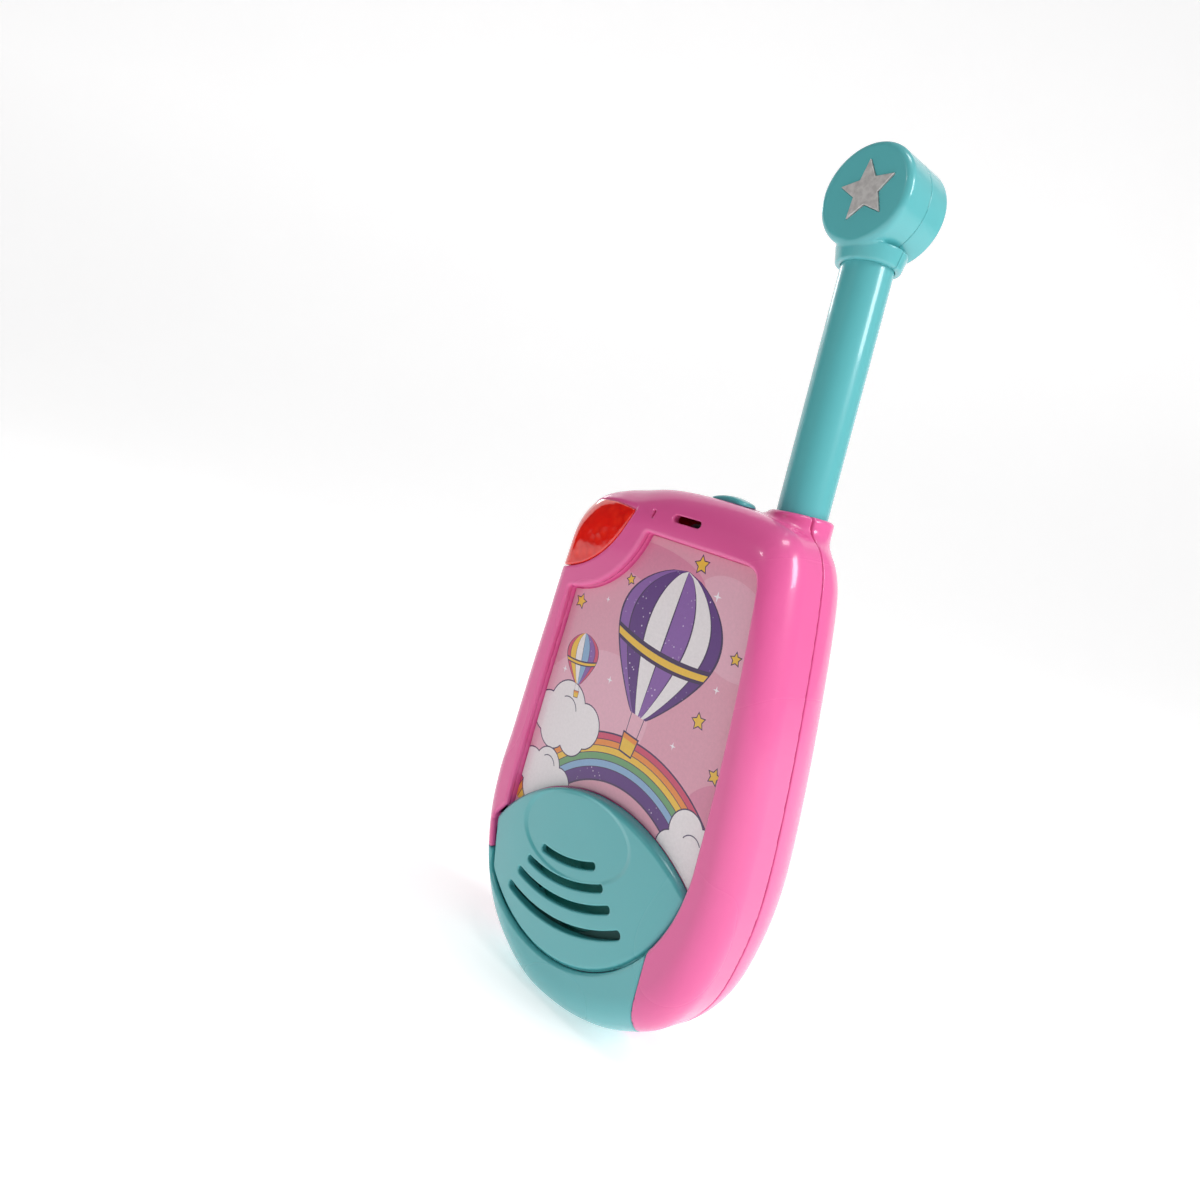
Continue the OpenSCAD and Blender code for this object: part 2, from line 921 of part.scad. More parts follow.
module clip_spring() {
  color([0.6, 0.61, 0.63])
    union() {
      for (i = [0:3])
        translate([-1.8 + i * 1.1, clip_y, clip_z])
          rotate([0, 90, 0])
            rotate_extrude($fn = 32)
              translate([1.85, 0])
                circle(r = 0.4, $fn = 16);
      translate([-1.8, clip_y + 1.75, clip_z])
        rotate([0, 90, 0])
          cylinder(h = 3.3, r = 0.4, $fn = 16);
    }
}

module shell_screws() {
  color([0.75, 0.76, 0.78])
    for (p = SCREWS)
      difference() {
        union() {
          ycyl(p[0], p[1], 1.3, -8.0, 5.4, 24);
          ycyl(p[0], p[1], 2.5, 5.25, 6.9, 32);
        }
        translate([p[0] - 1.5, 6.2, p[1] - 0.3])
          cube([3, 1, 0.6]);
        translate([p[0] - 0.3, 6.2, p[1] - 1.5])
          cube([0.6, 1, 3]);
      }
}

module board_screws() {
  color([0.75, 0.76, 0.78])
    for (p = BOARD)
      union() {
        ycyl(p[0], p[1], 0.9, -8.3, -4.5, 20);
        ycyl(p[0], p[1], 1.9, -4.62, -3.4, 24);
      }
}

// round wire through a list of points
module wire(p, r) {
  for (i = [0:len(p) - 2]) {
    v = p[i + 1] - p[i];
    translate(p[i])
      rotate([0, acos(v[2] / norm(v)), atan2(v[1], v[0])])
        cylinder(h = norm(v), r = r, $fn = 16);
  }
  for (i = [1:len(p) - 2])
    translate(p[i])
      sphere(r = r * 1.12, $fn = 16);
}

module speaker_wires() {
  color([0.75, 0.1, 0.1]) {
    wire([[-12, -3.5, 40], [-13, -2.0, 46], [-13, -2.0, 57], [-12, -4.0, 62]], 0.5);
    wire([[-9, -3.2, 41.5], [-10, -2.0, 47], [-10, -2.0, 57], [-9, -4.0, 62]], 0.5);
  }
}

module battery_wires() {
  color([0.12, 0.12, 0.13]) {
    wire([[14, 3.4, 67.9], [14, 3.4, 73], [14, -0.4, 74], [10, -2, 70], [10, -4.0, 66]], 0.5);
    wire([[-14, 3.4, 67.9], [-14, 3.4, 73], [-14, -0.4, 74], [-12, -2, 70], [-12, -4.0, 66]], 0.5);
  }
}

module aerial_wire() {
  color([0.8, 0.5, 0.25])
    wire([[21.2, 3.65, 172], [21.2, 3.65, 102], [20, -1.5, 99], [19, -3.9, 96]], 0.6);
}

front_shell();
rear_shell();
bottom_trim();
speaker_cover();
light_lens();
light_reflector();
light_led();
picture_label();
antenna_tube();
antenna_head();
antenna_head_rear();
star_inlay();
power_slider();
power_switch();
switch_nub();
talk_button();
talk_switch();
circuit_board();
radio_chips();
crystal_can();
tuning_coils();
microphone();
speaker_frame();
speaker_magnet();
speaker_cone();
battery_cells();
contact_plates();
contact_springs();
battery_door();
door_screws();
belt_clip();
clip_pin();
clip_spring();
shell_screws();
board_screws();
speaker_wires();
battery_wires();
aerial_wire();
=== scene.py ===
import math

import bmesh
import bpy
import numpy as np
from mathutils import Matrix, Vector
from mathutils.geometry import delaunay_2d_cdt


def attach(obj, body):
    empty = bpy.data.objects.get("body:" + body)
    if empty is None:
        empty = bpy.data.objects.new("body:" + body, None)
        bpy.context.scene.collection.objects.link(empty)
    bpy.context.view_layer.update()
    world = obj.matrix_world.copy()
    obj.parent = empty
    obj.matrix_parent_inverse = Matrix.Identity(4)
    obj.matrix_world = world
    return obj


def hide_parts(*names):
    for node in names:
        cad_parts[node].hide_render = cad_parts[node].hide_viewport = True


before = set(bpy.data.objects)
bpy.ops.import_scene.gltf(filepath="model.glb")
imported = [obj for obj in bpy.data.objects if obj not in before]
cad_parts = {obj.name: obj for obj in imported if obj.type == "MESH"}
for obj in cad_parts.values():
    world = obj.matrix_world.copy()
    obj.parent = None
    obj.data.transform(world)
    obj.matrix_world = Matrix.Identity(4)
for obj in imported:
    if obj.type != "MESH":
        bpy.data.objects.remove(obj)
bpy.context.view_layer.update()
MM = 0.001
F32 = np.float32

# ---------------------------------------------------------------- sizes, in mm
# X runs across the front, Y from front to back and Z up from the foot.
HALF_D = 13.4  # half the body's depth
WALL = 2.0
FLOOR_Y = -10.4  # front of the plate that the picture lies on
SHEET_Y = (-10.68, -10.43)  # the picture sheet's front and back
GAP = 0.13  # from mid depth to the edge of each shell
ANT = (21.2, 3.65)  # the antenna's axis, X and Y
ANT_BORE, SOCKET_R = 5.55, 7.0
HEAD_Z, HEAD_R = 186.6, 10.4
COLLAR_Z = (173.9, 177.5)  # the flared collar under the head
STAR_C, STAR_TURN = (21.7, 186.9), math.radians(7)
SPK = (-4.0, 32.5)  # the speaker's axis, X and Z
SPK_RING = (18.3, 20.0)  # inner and outer radius of the ring that holds it
SOUND_HOLE_R, COVER_COLLAR_R, COVER_HOLLOW_R = 15.2, 15.05, 14.0
SCREWS = [(-29.5, 46), (29.5, 46), (-28.6, 93.5), (28.8, 90)]
SCREW_HOLE_R, SCREW_HEAD_R = 1.35, 2.7
BOARD = [(-19.5, 64), (19.5, 64), (-12, 101), (12, 101)]  # the board's posts
DOOR_SCREW_Z = (13.6, 72.4)
TALK_Z = 73
TALK_PAD, TALK_FLANGE = (22, 9), (25, 12)  # length and width
SLIDER_X, POCKET_X, SLIDER_Y = 7.5, 5.5, -3
CLIP_Y, CLIP_Z, CLIP_W = HALF_D + 3.4, 102.0, 14.0
# the body's outline from the front, X and Z, from the foot round to the right
OUT = [(0, -1), (10.9, 1.4), (19.8, 5.4), (28.2, 11.4), (34.3, 20.2), (37.5, 31.1),
       (39, 42.3), (39, 54), (37.8, 71.9), (36, 89.7), (34.2, 103.6), (32.5, 111.8),
       (29.3, 116.9), (23, 119.4), (12, 121.1), (0, 121.8), (-8, 121.6), (-14.7, 120.6),
       (-21.7, 119.5), (-28.3, 117.4), (-32.9, 112.6), (-34.4, 104.9), (-35.3, 96.7),
       (-36.4, 85.7), (-37.9, 72), (-39.6, 54), (-41, 41.6), (-40.3, 29.3), (-36.7, 17.7),
       (-30.2, 8.3), (-21.1, 2.1), (-11.3, -1.1)]
# the picture's outline; the lamp's arc and the speaker cover cut into it
PICT = [(20, 33), (27.5, 36), (29.9, 44), (30.2, 52), (30.2, 60), (30.0, 71),
        (29.3, 85), (28.3, 97), (27.7, 103), (27.2, 106), (26.2, 108.2),
        (24.2, 109.2), (21, 109.5), (8, 110.2), (-6, 110.9), (-16, 111.4),
        (-25.8, 111.6), (-27.2, 104), (-27.6, 94), (-28.3, 84), (-29.5, 70),
        (-30.5, 56), (-31.2, 44), (-31.5, 34), (-31.5, 30)]
HOOD_C, HOOD_R = (-29.2, 117.9), 24.0  # arc of the rim round the lamp's corner
LENS_C, LENS_R = (-34.6, 122.2), 24.1
# the lens lies before the plane LEAN_X * x + y + LEAN_Z * z = LENS_PLANE; the last
# value is the length of the plane's normal
LENS_LEAN_X, LENS_LEAN_Z, LENS_PLANE, LENS_NORMAL = 0.1572, 0.2551, 15.11, 1.044
# the speaker cover: two arcs, and a straight left end that leans to the left
COVER_UP, COVER_UP_R = (1.9, 5.2), 45.5
COVER_LO, COVER_LO_R = (-8.0, 48.3), 37.9
COVER_END_X, COVER_END_SLOPE, COVER_END_NORMAL = -27.81, 0.229, 1.026
COVER_TOP_Y = -14.4
DOME_C, DOME_R, DOME_LIMIT = (-3, 34), 235, 4000
DISH_C, DISH_HALF, DISH_DEPTH = (-4.7, 40.0), (18.6, 10.0), 0.80
DISH_TURN = math.radians(-9)
SLOT_C = (-12.3, 70.5)
# each slot's radius about SLOT_C, its first and last angle, and its width
SLOTS = [(37.6, -1.7, 24.6, 1.7), (42.3, -6.7, 27.8, 1.7),
         (46.8, -9.3, 29.6, 1.8), (52.1, -11.1, 31.8, 2.0)]
# the trim covers the body inside this outline
TRIM = [(-50, 22.8), (-34, 24.0), (-10, 36), (24.2, 30), (24.1, 25), (24.0, 18),
        (23.3, 10), (22.6, 4), (22.4, -5), (-50, -5)]


# ------------------------------------------------- shapes as signed distances
def smooth_loop(points, k=6):
    """A closed Catmull-Rom curve through the points, k steps for each of them."""
    p = np.array(points, float)
    a, b, c, d = np.roll(p, 1, 0), p, np.roll(p, -1, 0), np.roll(p, -2, 0)
    t = (np.arange(k) / k)[None, :, None]
    a, b, c, d = (q[:, None, :] for q in (a, b, c, d))
    curve = 0.5 * (2 * b + (c - a) * t + (2 * a - 5 * b + 4 * c - d) * t**2
                   + (3 * b - a - 3 * c + d) * t**3)
    return curve.reshape(-1, 2)


def inside(points, u, v):
    """Which of the places (u, v) lie inside a closed polygon."""
    hit = np.zeros(u.shape, bool)
    p = np.array(points, float)
    for (x0, y0), (x1, y1) in zip(p, np.roll(p, -1, 0)):
        if y0 != y1:
            hit ^= ((y0 > v) != (y1 > v)) & (u < (x1 - x0) * (v - y0) / (y1 - y0) + x0)
    return hit


def polygon_distance(points, u, v):
    """Signed distance to a closed polygon, negative inside."""
    p = np.array(points, float)
    u, v = np.broadcast_arrays(u, v)
    best = np.full(u.shape, 1e9)
    for (x0, y0), (x1, y1) in zip(p, np.roll(p, -1, 0)):
        ex, ey = x1 - x0, y1 - y0
        wx, wy = u - x0, v - y0
        t = np.clip((wx * ex + wy * ey) / max(ex * ex + ey * ey, 1e-12), 0, 1)
        best = np.minimum(best, (wx - ex * t)**2 + (wy - ey * t)**2)
    return np.where(inside(p, u, v), -1, 1) * np.sqrt(best)


class Outline:
    """A polygon's signed distance kept on a fine grid and read smoothly."""

    def __init__(self, points, step=0.25, pad=8.0):
        p = np.array(points, float)
        self.lo, self.step = p.min(0) - pad, step
        n = np.ceil((p.max(0) + pad - self.lo) / step).astype(int) + 1
        u = self.lo[0] + step * np.arange(n[0])
        v = self.lo[1] + step * np.arange(n[1])
        self.g = polygon_distance(p, u[:, None], v[None, :]).astype(F32)

    def __call__(self, u, v):
        nu, nv = self.g.shape
        a = (u - self.lo[0]) / self.step
        b = (v - self.lo[1]) / self.step
        ac, bc = np.clip(a, 1, nu - 3.001), np.clip(b, 1, nv - 3.001)
        away = np.hypot(a - ac, b - bc) * self.step
        ia, ib = np.floor(ac).astype(int), np.floor(bc).astype(int)
        fa, fb = ac - ia, bc - ib
        wa, wb = cubic(fa), cubic(fb)
        total = 0
        for i in range(4):
            for j in range(4):
                total = total + wa[i] * wb[j] * self.g[ia + i - 1, ib + j - 1]
        return total + away


def cubic(t):
    """Weights of four neighbours for a smooth reading between the middle two."""
    return (0.5 * (-t + 2 * t * t - t**3), 0.5 * (2 - 5 * t * t + 3 * t**3),
            0.5 * (t + 4 * t * t - 3 * t**3), 0.5 * (-t * t + t**3))


def either(a, b, r=0.0):
    """Union, with a round fillet of radius r."""
    if r <= 0:
        return np.minimum(a, b)
    u, v = np.maximum(r - a, 0), np.maximum(r - b, 0)
    return np.maximum(r, np.minimum(a, b)) - np.hypot(u, v)


def both(a, b, r=0.0):
    """Intersection, with its edge rounded to radius r."""
    if r <= 0:
        return np.maximum(a, b)
    u, v = np.maximum(r + a, 0), np.maximum(r + b, 0)
    return np.minimum(-r, np.maximum(a, b)) + np.hypot(u, v)


def cut(a, b, r=0.0):
    """Shape a without shape b."""
    return both(a, -b, r)


def disc(u, v, c, r):
    """Inside a circle of radius r about c."""
    return np.hypot(u - c[0], v - c[1]) - r


def between(u, lo, hi):
    """Between two parallel planes."""
    return np.abs(u - (lo + hi) / 2) - (hi - lo) / 2


def block(x, y, z, lo, hi, r=0.0):
    """A box from corner to corner, with edges of radius r."""
    return both(both(between(x, lo[0], hi[0]), between(y, lo[1], hi[1]), r),
                between(z, lo[2], hi[2]), r)


def rod_y(x, y, z, c, rad, y0, y1, r=0.0):
    """A round rod along Y about c, which is (X, Z)."""
    return both(disc(x, z, c, rad), between(y, y0, y1), r)


def rod_z(x, y, z, c, rad, z0, z1, r=0.0):
    """A round rod along Z about c, which is (X, Y)."""
    return both(disc(x, y, c, rad), between(z, z0, z1), r)


# ------------------------------------------------------------ the body's form
# The outline is kept as two rings of values about (0, MID_Z): its radius, and the
# distance of its tangent from that centre, which is the half width met there.
RIM = smooth_loop(OUT, 12)
MID_Z = 58.0
RING = 1440  # values in a full turn
ring_angle = -math.pi + 2 * math.pi * np.arange(RING) / RING
rim_angle = np.arctan2(RIM[:, 1] - MID_Z, RIM[:, 0])
rim_radius = np.hypot(RIM[:, 0], RIM[:, 1] - MID_Z)
rim_along = np.roll(RIM, -1, 0) - np.roll(RIM, 1, 0)
rim_out = np.stack([rim_along[:, 1], -rim_along[:, 0]], 1)
rim_out /= np.linalg.norm(rim_out, axis=1)[:, None]
rim_half = np.abs(RIM[:, 0] * rim_out[:, 0] + (RIM[:, 1] - MID_Z) * rim_out[:, 1])
by_angle = np.argsort(rim_angle)


def ring_of(values):
    """The rim's values at even steps of angle, smoothed a little."""
    a, v = rim_angle[by_angle], values[by_angle]
    a3 = np.concatenate([a - 2 * math.pi, a, a + 2 * math.pi])
    v3 = np.concatenate([v, v, v])
    out = np.interp(ring_angle, a3, v3)
    for _ in range(6):
        out = 0.25 * np.roll(out, 1) + 0.5 * out + 0.25 * np.roll(out, -1)
    return out


RADIUS_RING = ring_of(rim_radius)
HALF_RING = ring_of(rim_half)


def ring_lookup(table, th):
    """A ring's value at the angle th, read smoothly."""
    t = (th + math.pi) / (2 * math.pi) * RING
    i = np.floor(t).astype(int)
    w = cubic(t - i)
    return sum(w[k] * table[(i + k - 1) % RING] for k in range(4))


# how each half rounds over: share of the half width, depth, and power of the curve
FRONT = (0.15, 7.6, 2.0)
REAR = (0.22, 12.4, 2.0)


def body(x, y, z):
    """Distance to the pillow-like body, before any opening."""
    th = np.arctan2(z - MID_Z, x)
    q = np.hypot(x, z - MID_Z) / ring_lookup(RADIUS_RING, th)
    h = ring_lookup(HALF_RING, th)
    out = None
    for side, (a, b, p) in ((y < 0, FRONT), (y >= 0, REAR)):
        wide = a * h
        u = (q - 1) * h / wide + 1
        v = (np.abs(y) - (HALF_D - b)) / b
        u0, v0 = np.maximum(u, 1e-6), np.maximum(v, 1e-6)
        n = (u0**p + v0**p)**(1 / p)
        grad = np.hypot((u0 / n)**(p - 1) / wide, (v0 / n)**(p - 1) / b)
        d = np.where((u > 0) & (v > 0), (n - 1) / grad,
                     np.maximum((u - 1) * wide, (v - 1) * b))
        out = d if out is None else np.where(side, d, out)
    return out


def boss(x, y, z):
    """The raised socket round the antenna, slightly wider at its foot."""
    flare = 0.35 * np.clip((119.5 - z) / 4, 0, 1)**2
    return both(disc(x, y, ANT, SOCKET_R) - flare, between(z, 100, 122.0), 0.9)


def outside(x, y, z):
    """The whole outer form, with the socket and the flat foot."""
    return both(either(body(x, y, z), boss(x, y, z), 1.6), -z, 0.8)


pict_poly = Outline(smooth_loop(PICT, 5))
trim_poly = Outline(TRIM)


def picture(x, z):
    """The picture's area, rounded where the lamp's arc cuts into it."""
    return both(pict_poly(x, z), -disc(x, z, HOOD_C, HOOD_R), 0.8)


def almond(x, z, g=0.0, r=0.6):
    """The speaker cover's area, grown by g, with corners of radius r."""
    arcs = both(disc(x, z, COVER_UP, COVER_UP_R + g),
                disc(x, z, COVER_LO, COVER_LO_R + g), r)
    end = -(x - COVER_END_X + COVER_END_SLOPE * z) / COVER_END_NORMAL - g
    return both(arcs, end, r)


def lens_wedge(x, y, z):
    """Before the slanting plane that ends the lens."""
    return (LENS_LEAN_X * x + y + LENS_LEAN_Z * z - LENS_PLANE) / LENS_NORMAL


def lens_block(x, y, z, g):
    """The corner that the lens fills, grown by g."""
    return both(both(disc(x, z, LENS_C, LENS_R + g), lens_wedge(x, y, z) - g, 0.5),
                y + 2, 0)


def stadium(u, v, length, wide, g):
    """A long area with round ends along u, grown by g."""
    s = (length - wide) / 2
    return np.hypot(u - np.clip(u, -s, s), v) - wide / 2 - g


def arc_slot(x, z, r, a0, a1, w):
    """A curved slot of width w between two angles, in degrees from straight down."""
    dx, dz = x - SLOT_C[0], z - SLOT_C[1]
    a = np.clip(np.arctan2(dx, -dz), math.radians(a0), math.radians(a1))
    return np.hypot(dx - r * np.sin(a), dz + r * np.cos(a)) - w / 2


def slots(x, z):
    """All of the speaker cover's slots."""
    out = None
    for r, a0, a1, w in SLOTS:
        d = arc_slot(x, z, r, a0, a1, w)
        out = d if out is None else np.minimum(out, d)
    return out


def hull_hollow(x, y, z):
    """The body's wall all round, with nothing cut."""
    return cut(outside(x, y, z), body(x, y, z) + WALL, 0.3)


def talk_space(x, y, z, g=0.35):
    """Room for the talk button and for its flange inside the wall."""
    room = both(stadium(z - TALK_Z, y, *TALK_FLANGE, g), between(x, -35.1, -31.5))
    return either(both(stadium(z - TALK_Z, y, *TALK_PAD, g), x + 31), room)


def front_shell(x, y, z):
    """The wall before mid depth, with the recess, posts, ring and openings."""
    d = hull_hollow(x, y, z)
    pic = picture(x, z)
    alm = almond(x, z)
    plate = both(both(pic - 1.6, between(y, -12.0, -8.8)),
                 body(x, y, z) + 0.4)
    seat = both(both(alm - 0.3, between(y, -12.0, -8.8)), body(x, y, z) + 0.9)
    d = either(d, either(plate, seat), 0.0)
    sleeve = both(rod_z(x, y, z, ANT, SOCKET_R, 106, 120), body(x, y, z) + 0.5)
    d = either(d, sleeve, 0.0)
    for p in SCREWS:
        d = either(d, rod_y(x, y, z, p, 3.3, -11.6, -GAP), 0.5)
    for p in BOARD:
        d = either(d, rod_y(x, y, z, p, 2.4, -9.2, -6.3))
    ring = cut(rod_y(x, y, z, SPK, SPK_RING[1], -9.2, -5.6), disc(x, z, SPK, SPK_RING[0]))
    d = either(d, ring)
    d = both(d, y + GAP, 0.3)
    d = cut(d, both(either(pic, alm - 0.25), y - FLOOR_Y), 0.85)
    d = cut(d, rod_y(x, y, z, SPK, SOUND_HOLE_R, -14, -8))
    d = cut(d, lens_block(x, y, z, 0.12), 0.45)
    d = cut(d, cut(trim_poly(x, z), alm - 0.3), 0.25)
    mic = np.hypot(x - np.clip(x, 1.7, 8.2), z - 115.25 + 0.045 * (x - 1.7)) - 0.8
    d = cut(d, both(mic, y + 9.0), 0.35)
    slit = both(between(x, -5.72, -5.08), between(z, 114.3, 116.1), 0.2)
    d = cut(d, both(slit, y + 11.9), 0.12)
    for p in SCREWS:
        d = cut(d, rod_y(x, y, z, p, SCREW_HOLE_R, -8.4, 1))
    for p in BOARD:
        d = cut(d, rod_y(x, y, z, p, 0.95, -8.5, 0))
    d = cut(d, rod_z(x, y, z, ANT, ANT_BORE, 98, 130), 0.3)
    pocket = both(stadium(x - POCKET_X, y - SLIDER_Y, 16.6, 5, 0.3), 120.75 - z)
    d = cut(d, pocket, 0.3)
    d = cut(d, block(x, y, z, (0.6, -4.5, 112), (11.4, -1.5, 126)), 0.2)
    return cut(d, talk_space(x, y, z), 0.3)


# outlines in the YZ plane: an ear that holds the clip's pin, and the clip's blade
ear_poly = Outline([(HALF_D - 1, CLIP_Z - 4.6), (HALF_D, CLIP_Z - 4.6),
                    (CLIP_Y + 2.1, CLIP_Z - 2.2), (CLIP_Y + 2.1, CLIP_Z + 2.2),
                    (HALF_D, CLIP_Z + 4.2), (HALF_D - 1, CLIP_Z + 4.2)], 0.2, 4)
clip_poly = Outline([(HALF_D + 5, CLIP_Z - 19.5), (HALF_D + 1.3, CLIP_Z - 22.6),
                     (HALF_D + 0.6, CLIP_Z - 24.0), (HALF_D + 2.2, CLIP_Z - 24.6),
                     (HALF_D + 7, CLIP_Z - 20.2), (HALF_D + 7, CLIP_Z + 1),
                     (HALF_D + 5.4, CLIP_Z + 8.6), (HALF_D + 3.6, CLIP_Z + 8.6),
                     (CLIP_Y, CLIP_Z + 2.6), (CLIP_Y, CLIP_Z - 2.8),
                     (HALF_D + 5, CLIP_Z - 4.0)], 0.15, 4)


def door_form(x, z, g):
    """The battery door's area with its two tongues, grown by g."""
    d = both(between(x, -19 - g, 19 + g), between(z, 17 - g, 69 + g), 1.2)
    for zc in DOOR_SCREW_Z:
        tongue = either(disc(x, z, (0, zc), 4.2 + g),
                        both(between(x, -4.2 - g, 4.2 + g),
                             between(z, zc - 4, zc + 4)))
        d = either(d, tongue, 0.8)
    return d


def rear_shell(x, y, z):
    """The wall behind mid depth, with the battery bay, screw posts and clip ears."""
    d = hull_hollow(x, y, z)
    inner = body(x, y, z) + 0.5
    d = either(d, both(rod_z(x, y, z, ANT, SOCKET_R, 106, 120), inner))
    bay = block(x, y, z, (-19.8, GAP, 16.4), (19.8, 12.4, 69.6))
    d = either(d, both(bay, inner), 0.5)
    for p in SCREWS:
        d = either(d, both(rod_y(x, y, z, p, 4.0, GAP, 12.0), inner), 0.5)
    for zc in DOOR_SCREW_Z:
        d = either(d, both(rod_y(x, y, z, (0, zc), 3.2, 3, 12.0), inner))
    d = both(d, GAP - y, 0.3)
    ear = either(ear_poly(y, z), disc(y, z, (CLIP_Y, CLIP_Z), 3.0), 0.0)
    ears = both(between(np.abs(x), 7.35, 9.85), ear, 0.5)
    d = either(d, ears, 0.8)
    lip = block(x, y, z, (-5, -1.2, 0), (5, 0.6, 1.7), 0.1)
    d = either(d, lip)
    d = cut(d, block(x, y, z, (-18, 1.1, 18), (18, 15.1, 68)), 0.2)
    d = cut(d, both(door_form(x, z, 0.22), 12.0 - y), 0.3)
    for zc in DOOR_SCREW_Z:
        d = cut(d, rod_y(x, y, z, (0, zc), 1.15, 4.5, 14))
    for p in SCREWS:
        d = cut(d, rod_y(x, y, z, p, SCREW_HOLE_R, -1, 14))
        d = cut(d, rod_y(x, y, z, p, SCREW_HEAD_R, 5.2, 20), 0.3)
    d = cut(d, rod_z(x, y, z, ANT, ANT_BORE, 98, 130), 0.3)
    d = cut(d, both(disc(y, z, (CLIP_Y, CLIP_Z), 1.25), np.abs(x) - 20))
    return cut(d, talk_space(x, y, z), 0.3)


def bottom_trim(x, y, z):
    """The part of the front wall that is teal, beside the speaker cover."""
    d = both(hull_hollow(x, y, z), y + GAP, 0.3)
    d = both(d, trim_poly(x, z) + 0.1, 0.25)
    d = cut(d, almond(x, z) - 0.4, 0.9)
    return cut(d, block(x, y, z, (-5.15, -1.35, -1), (5.15, 1.65, 1.9)))


def cover_top(x, z):
    """Y of the cover's outer face: a shallow dome with a thumb dish."""
    away = np.minimum((x - DOME_C[0])**2 + (z - DOME_C[1])**2, DOME_LIMIT)
    dome = DOME_R - np.sqrt(DOME_R**2 - away)
    dx, dz = x - DISH_C[0], z - DISH_C[1]
    u = dx * math.cos(DISH_TURN) - dz * math.sin(DISH_TURN)
    v = dx * math.sin(DISH_TURN) + dz * math.cos(DISH_TURN)
    e = np.sqrt((u / DISH_HALF[0])**2 + (v / DISH_HALF[1])**2)
    t = np.clip((1.02 - e) / 0.10, 0, 1)  # from 0 at the dish's edge to 1 within it
    dish = DISH_DEPTH * t * t * (3 - 2 * t) * (0.6 + 0.4 * np.clip(1 - e, 0, 1))
    return COVER_TOP_Y + dome + dish


def speaker_cover(x, y, z):
    """A domed lid with a foot, a collar in the sound hole, a hollow and slots."""
    top = cover_top(x, z) - y
    rim = almond(x, z, 0.0, 1.2)
    shell = both(top, body(x, y, z) - 0.9, 1.2)
    d = both(both(rim, shell, 1.3), y - FLOOR_Y)
    foot = both(almond(x, z, 0.33), both(top + 0.9, body(x, y, z) + 0.3))
    d = either(d, both(foot, both(trim_poly(x, z), y - FLOOR_Y)))
    d = either(d, rod_y(x, y, z, SPK, COVER_COLLAR_R, -10.8, -9.95))
    well = disc(x, z, SPK, COVER_HOLLOW_R)
    d = cut(d, both(well, top + 1.8))
    return cut(d, both(slots(x, z), np.minimum(y + 10.9, well)), 0.4)


def slot_shade_floor(x, y, z):
    """The lower part of the slots, where the painted shade shows."""
    return both(slots(x, z) - 0.3, -11.35 - y)


def lamp_lens(x, y, z):
    """The clear corner of the wall."""
    skin = cut(body(x, y, z) + 0.05, body(x, y, z) + WALL)
    return both(skin, lens_block(x, y, z, -0.06), 0.4)


def head(x, y, z):
    """The antenna's round head: a hollow drum on a flared collar."""
    drum = both(disc(x, z, (ANT[0], HEAD_Z), HEAD_R),
                between(y, ANT[1] - 7.6, ANT[1] + 7.4), 1.5)
    rad = 6.7 + 0.8 * np.clip((z - COLLAR_Z[0]) / 3.6, 0, 1)
    collar = both(disc(x, y, ANT, 0) - rad, between(z, *COLLAR_Z), 0.45)
    d = either(drum, collar, 0.4)
    d = cut(d, rod_y(x, y, z, (ANT[0], HEAD_Z), 8.5, ANT[1] - 5.8, ANT[1] + 5.6))
    return cut(d, rod_z(x, y, z, ANT, ANT_BORE, 170, 175.1), 0.2)


def star_points(r):
    """The ten corners of the head's star, about its own centre."""
    out = []
    for i in range(10):
        k = r if i % 2 == 0 else r * 0.46
        a = math.pi * i / 5 - STAR_TURN
        out.append((k * math.sin(a), k * math.cos(a)))
    return out


star_poly = Outline(star_points(6.42), 0.06, 1.5)


def head_front(x, y, z):
    """The head's front half, with a seat for the star."""
    d = both(head(x, y, z), y - ANT[1] + 0.03, 0.18)
    seat = both(star_poly(x - STAR_C[0], z - STAR_C[1]), y - (ANT[1] - 6.9))
    return cut(d, seat, 0.12)


def head_rear(x, y, z):
    """The head's rear half."""
    return both(head(x, y, z), ANT[1] + 0.03 - y, 0.18)


def power_slider(x, y, z):
    """A low domed cap on a stem, with a slot for the switch's nub."""
    flat = stadium(x - SLIDER_X, y - SLIDER_Y, 12, 5, 0)
    crown = disc(x, z, (SLIDER_X, 108.4), 14.55) + 0.4 * ((y - SLIDER_Y) / 2.5)**2
    cap = both(both(flat, crown, 0.7), 121.1 - z, 0.15)
    stem = block(x, y, z, (5, -4.15, 113.2), (11, -1.85, 122.5))
    flange = block(x, y, z, (4, -5.2, 116.0), (12, -0.8, 117.2))
    d = either(cap, either(stem, flange))
    return cut(d, block(x, y, z, (7.2, -6, 110), (8.8, 0, 115.2)))


def talk_button(x, y, z):
    """A crowned pad with four ribs, on a flange and a stem."""
    flat = stadium(z - TALK_Z, y, *TALK_PAD, 0)
    crown = 0.5 * np.clip((y / 4.5)**2 + ((z - TALK_Z) / 11)**2, 0, 1.5)
    d = both(both(flat, -39.9 + crown - x, 0.6), x + 34.5)
    for zr in (68, 71.33, 74.67, 78):
        d = either(d, block(x, y, z, (-40.15, -3, zr - 0.5), (-39, 3, zr + 0.5), 0.3),
                   0.2)
    flange = both(stadium(z - TALK_Z, y, *TALK_FLANGE, 0), between(x, -34.7, -33.5), 0.2)
    stem = block(x, y, z, (-35, -3.6, 71.6), (-29, -1.8, 74.4))
    return either(d, either(flange, stem))


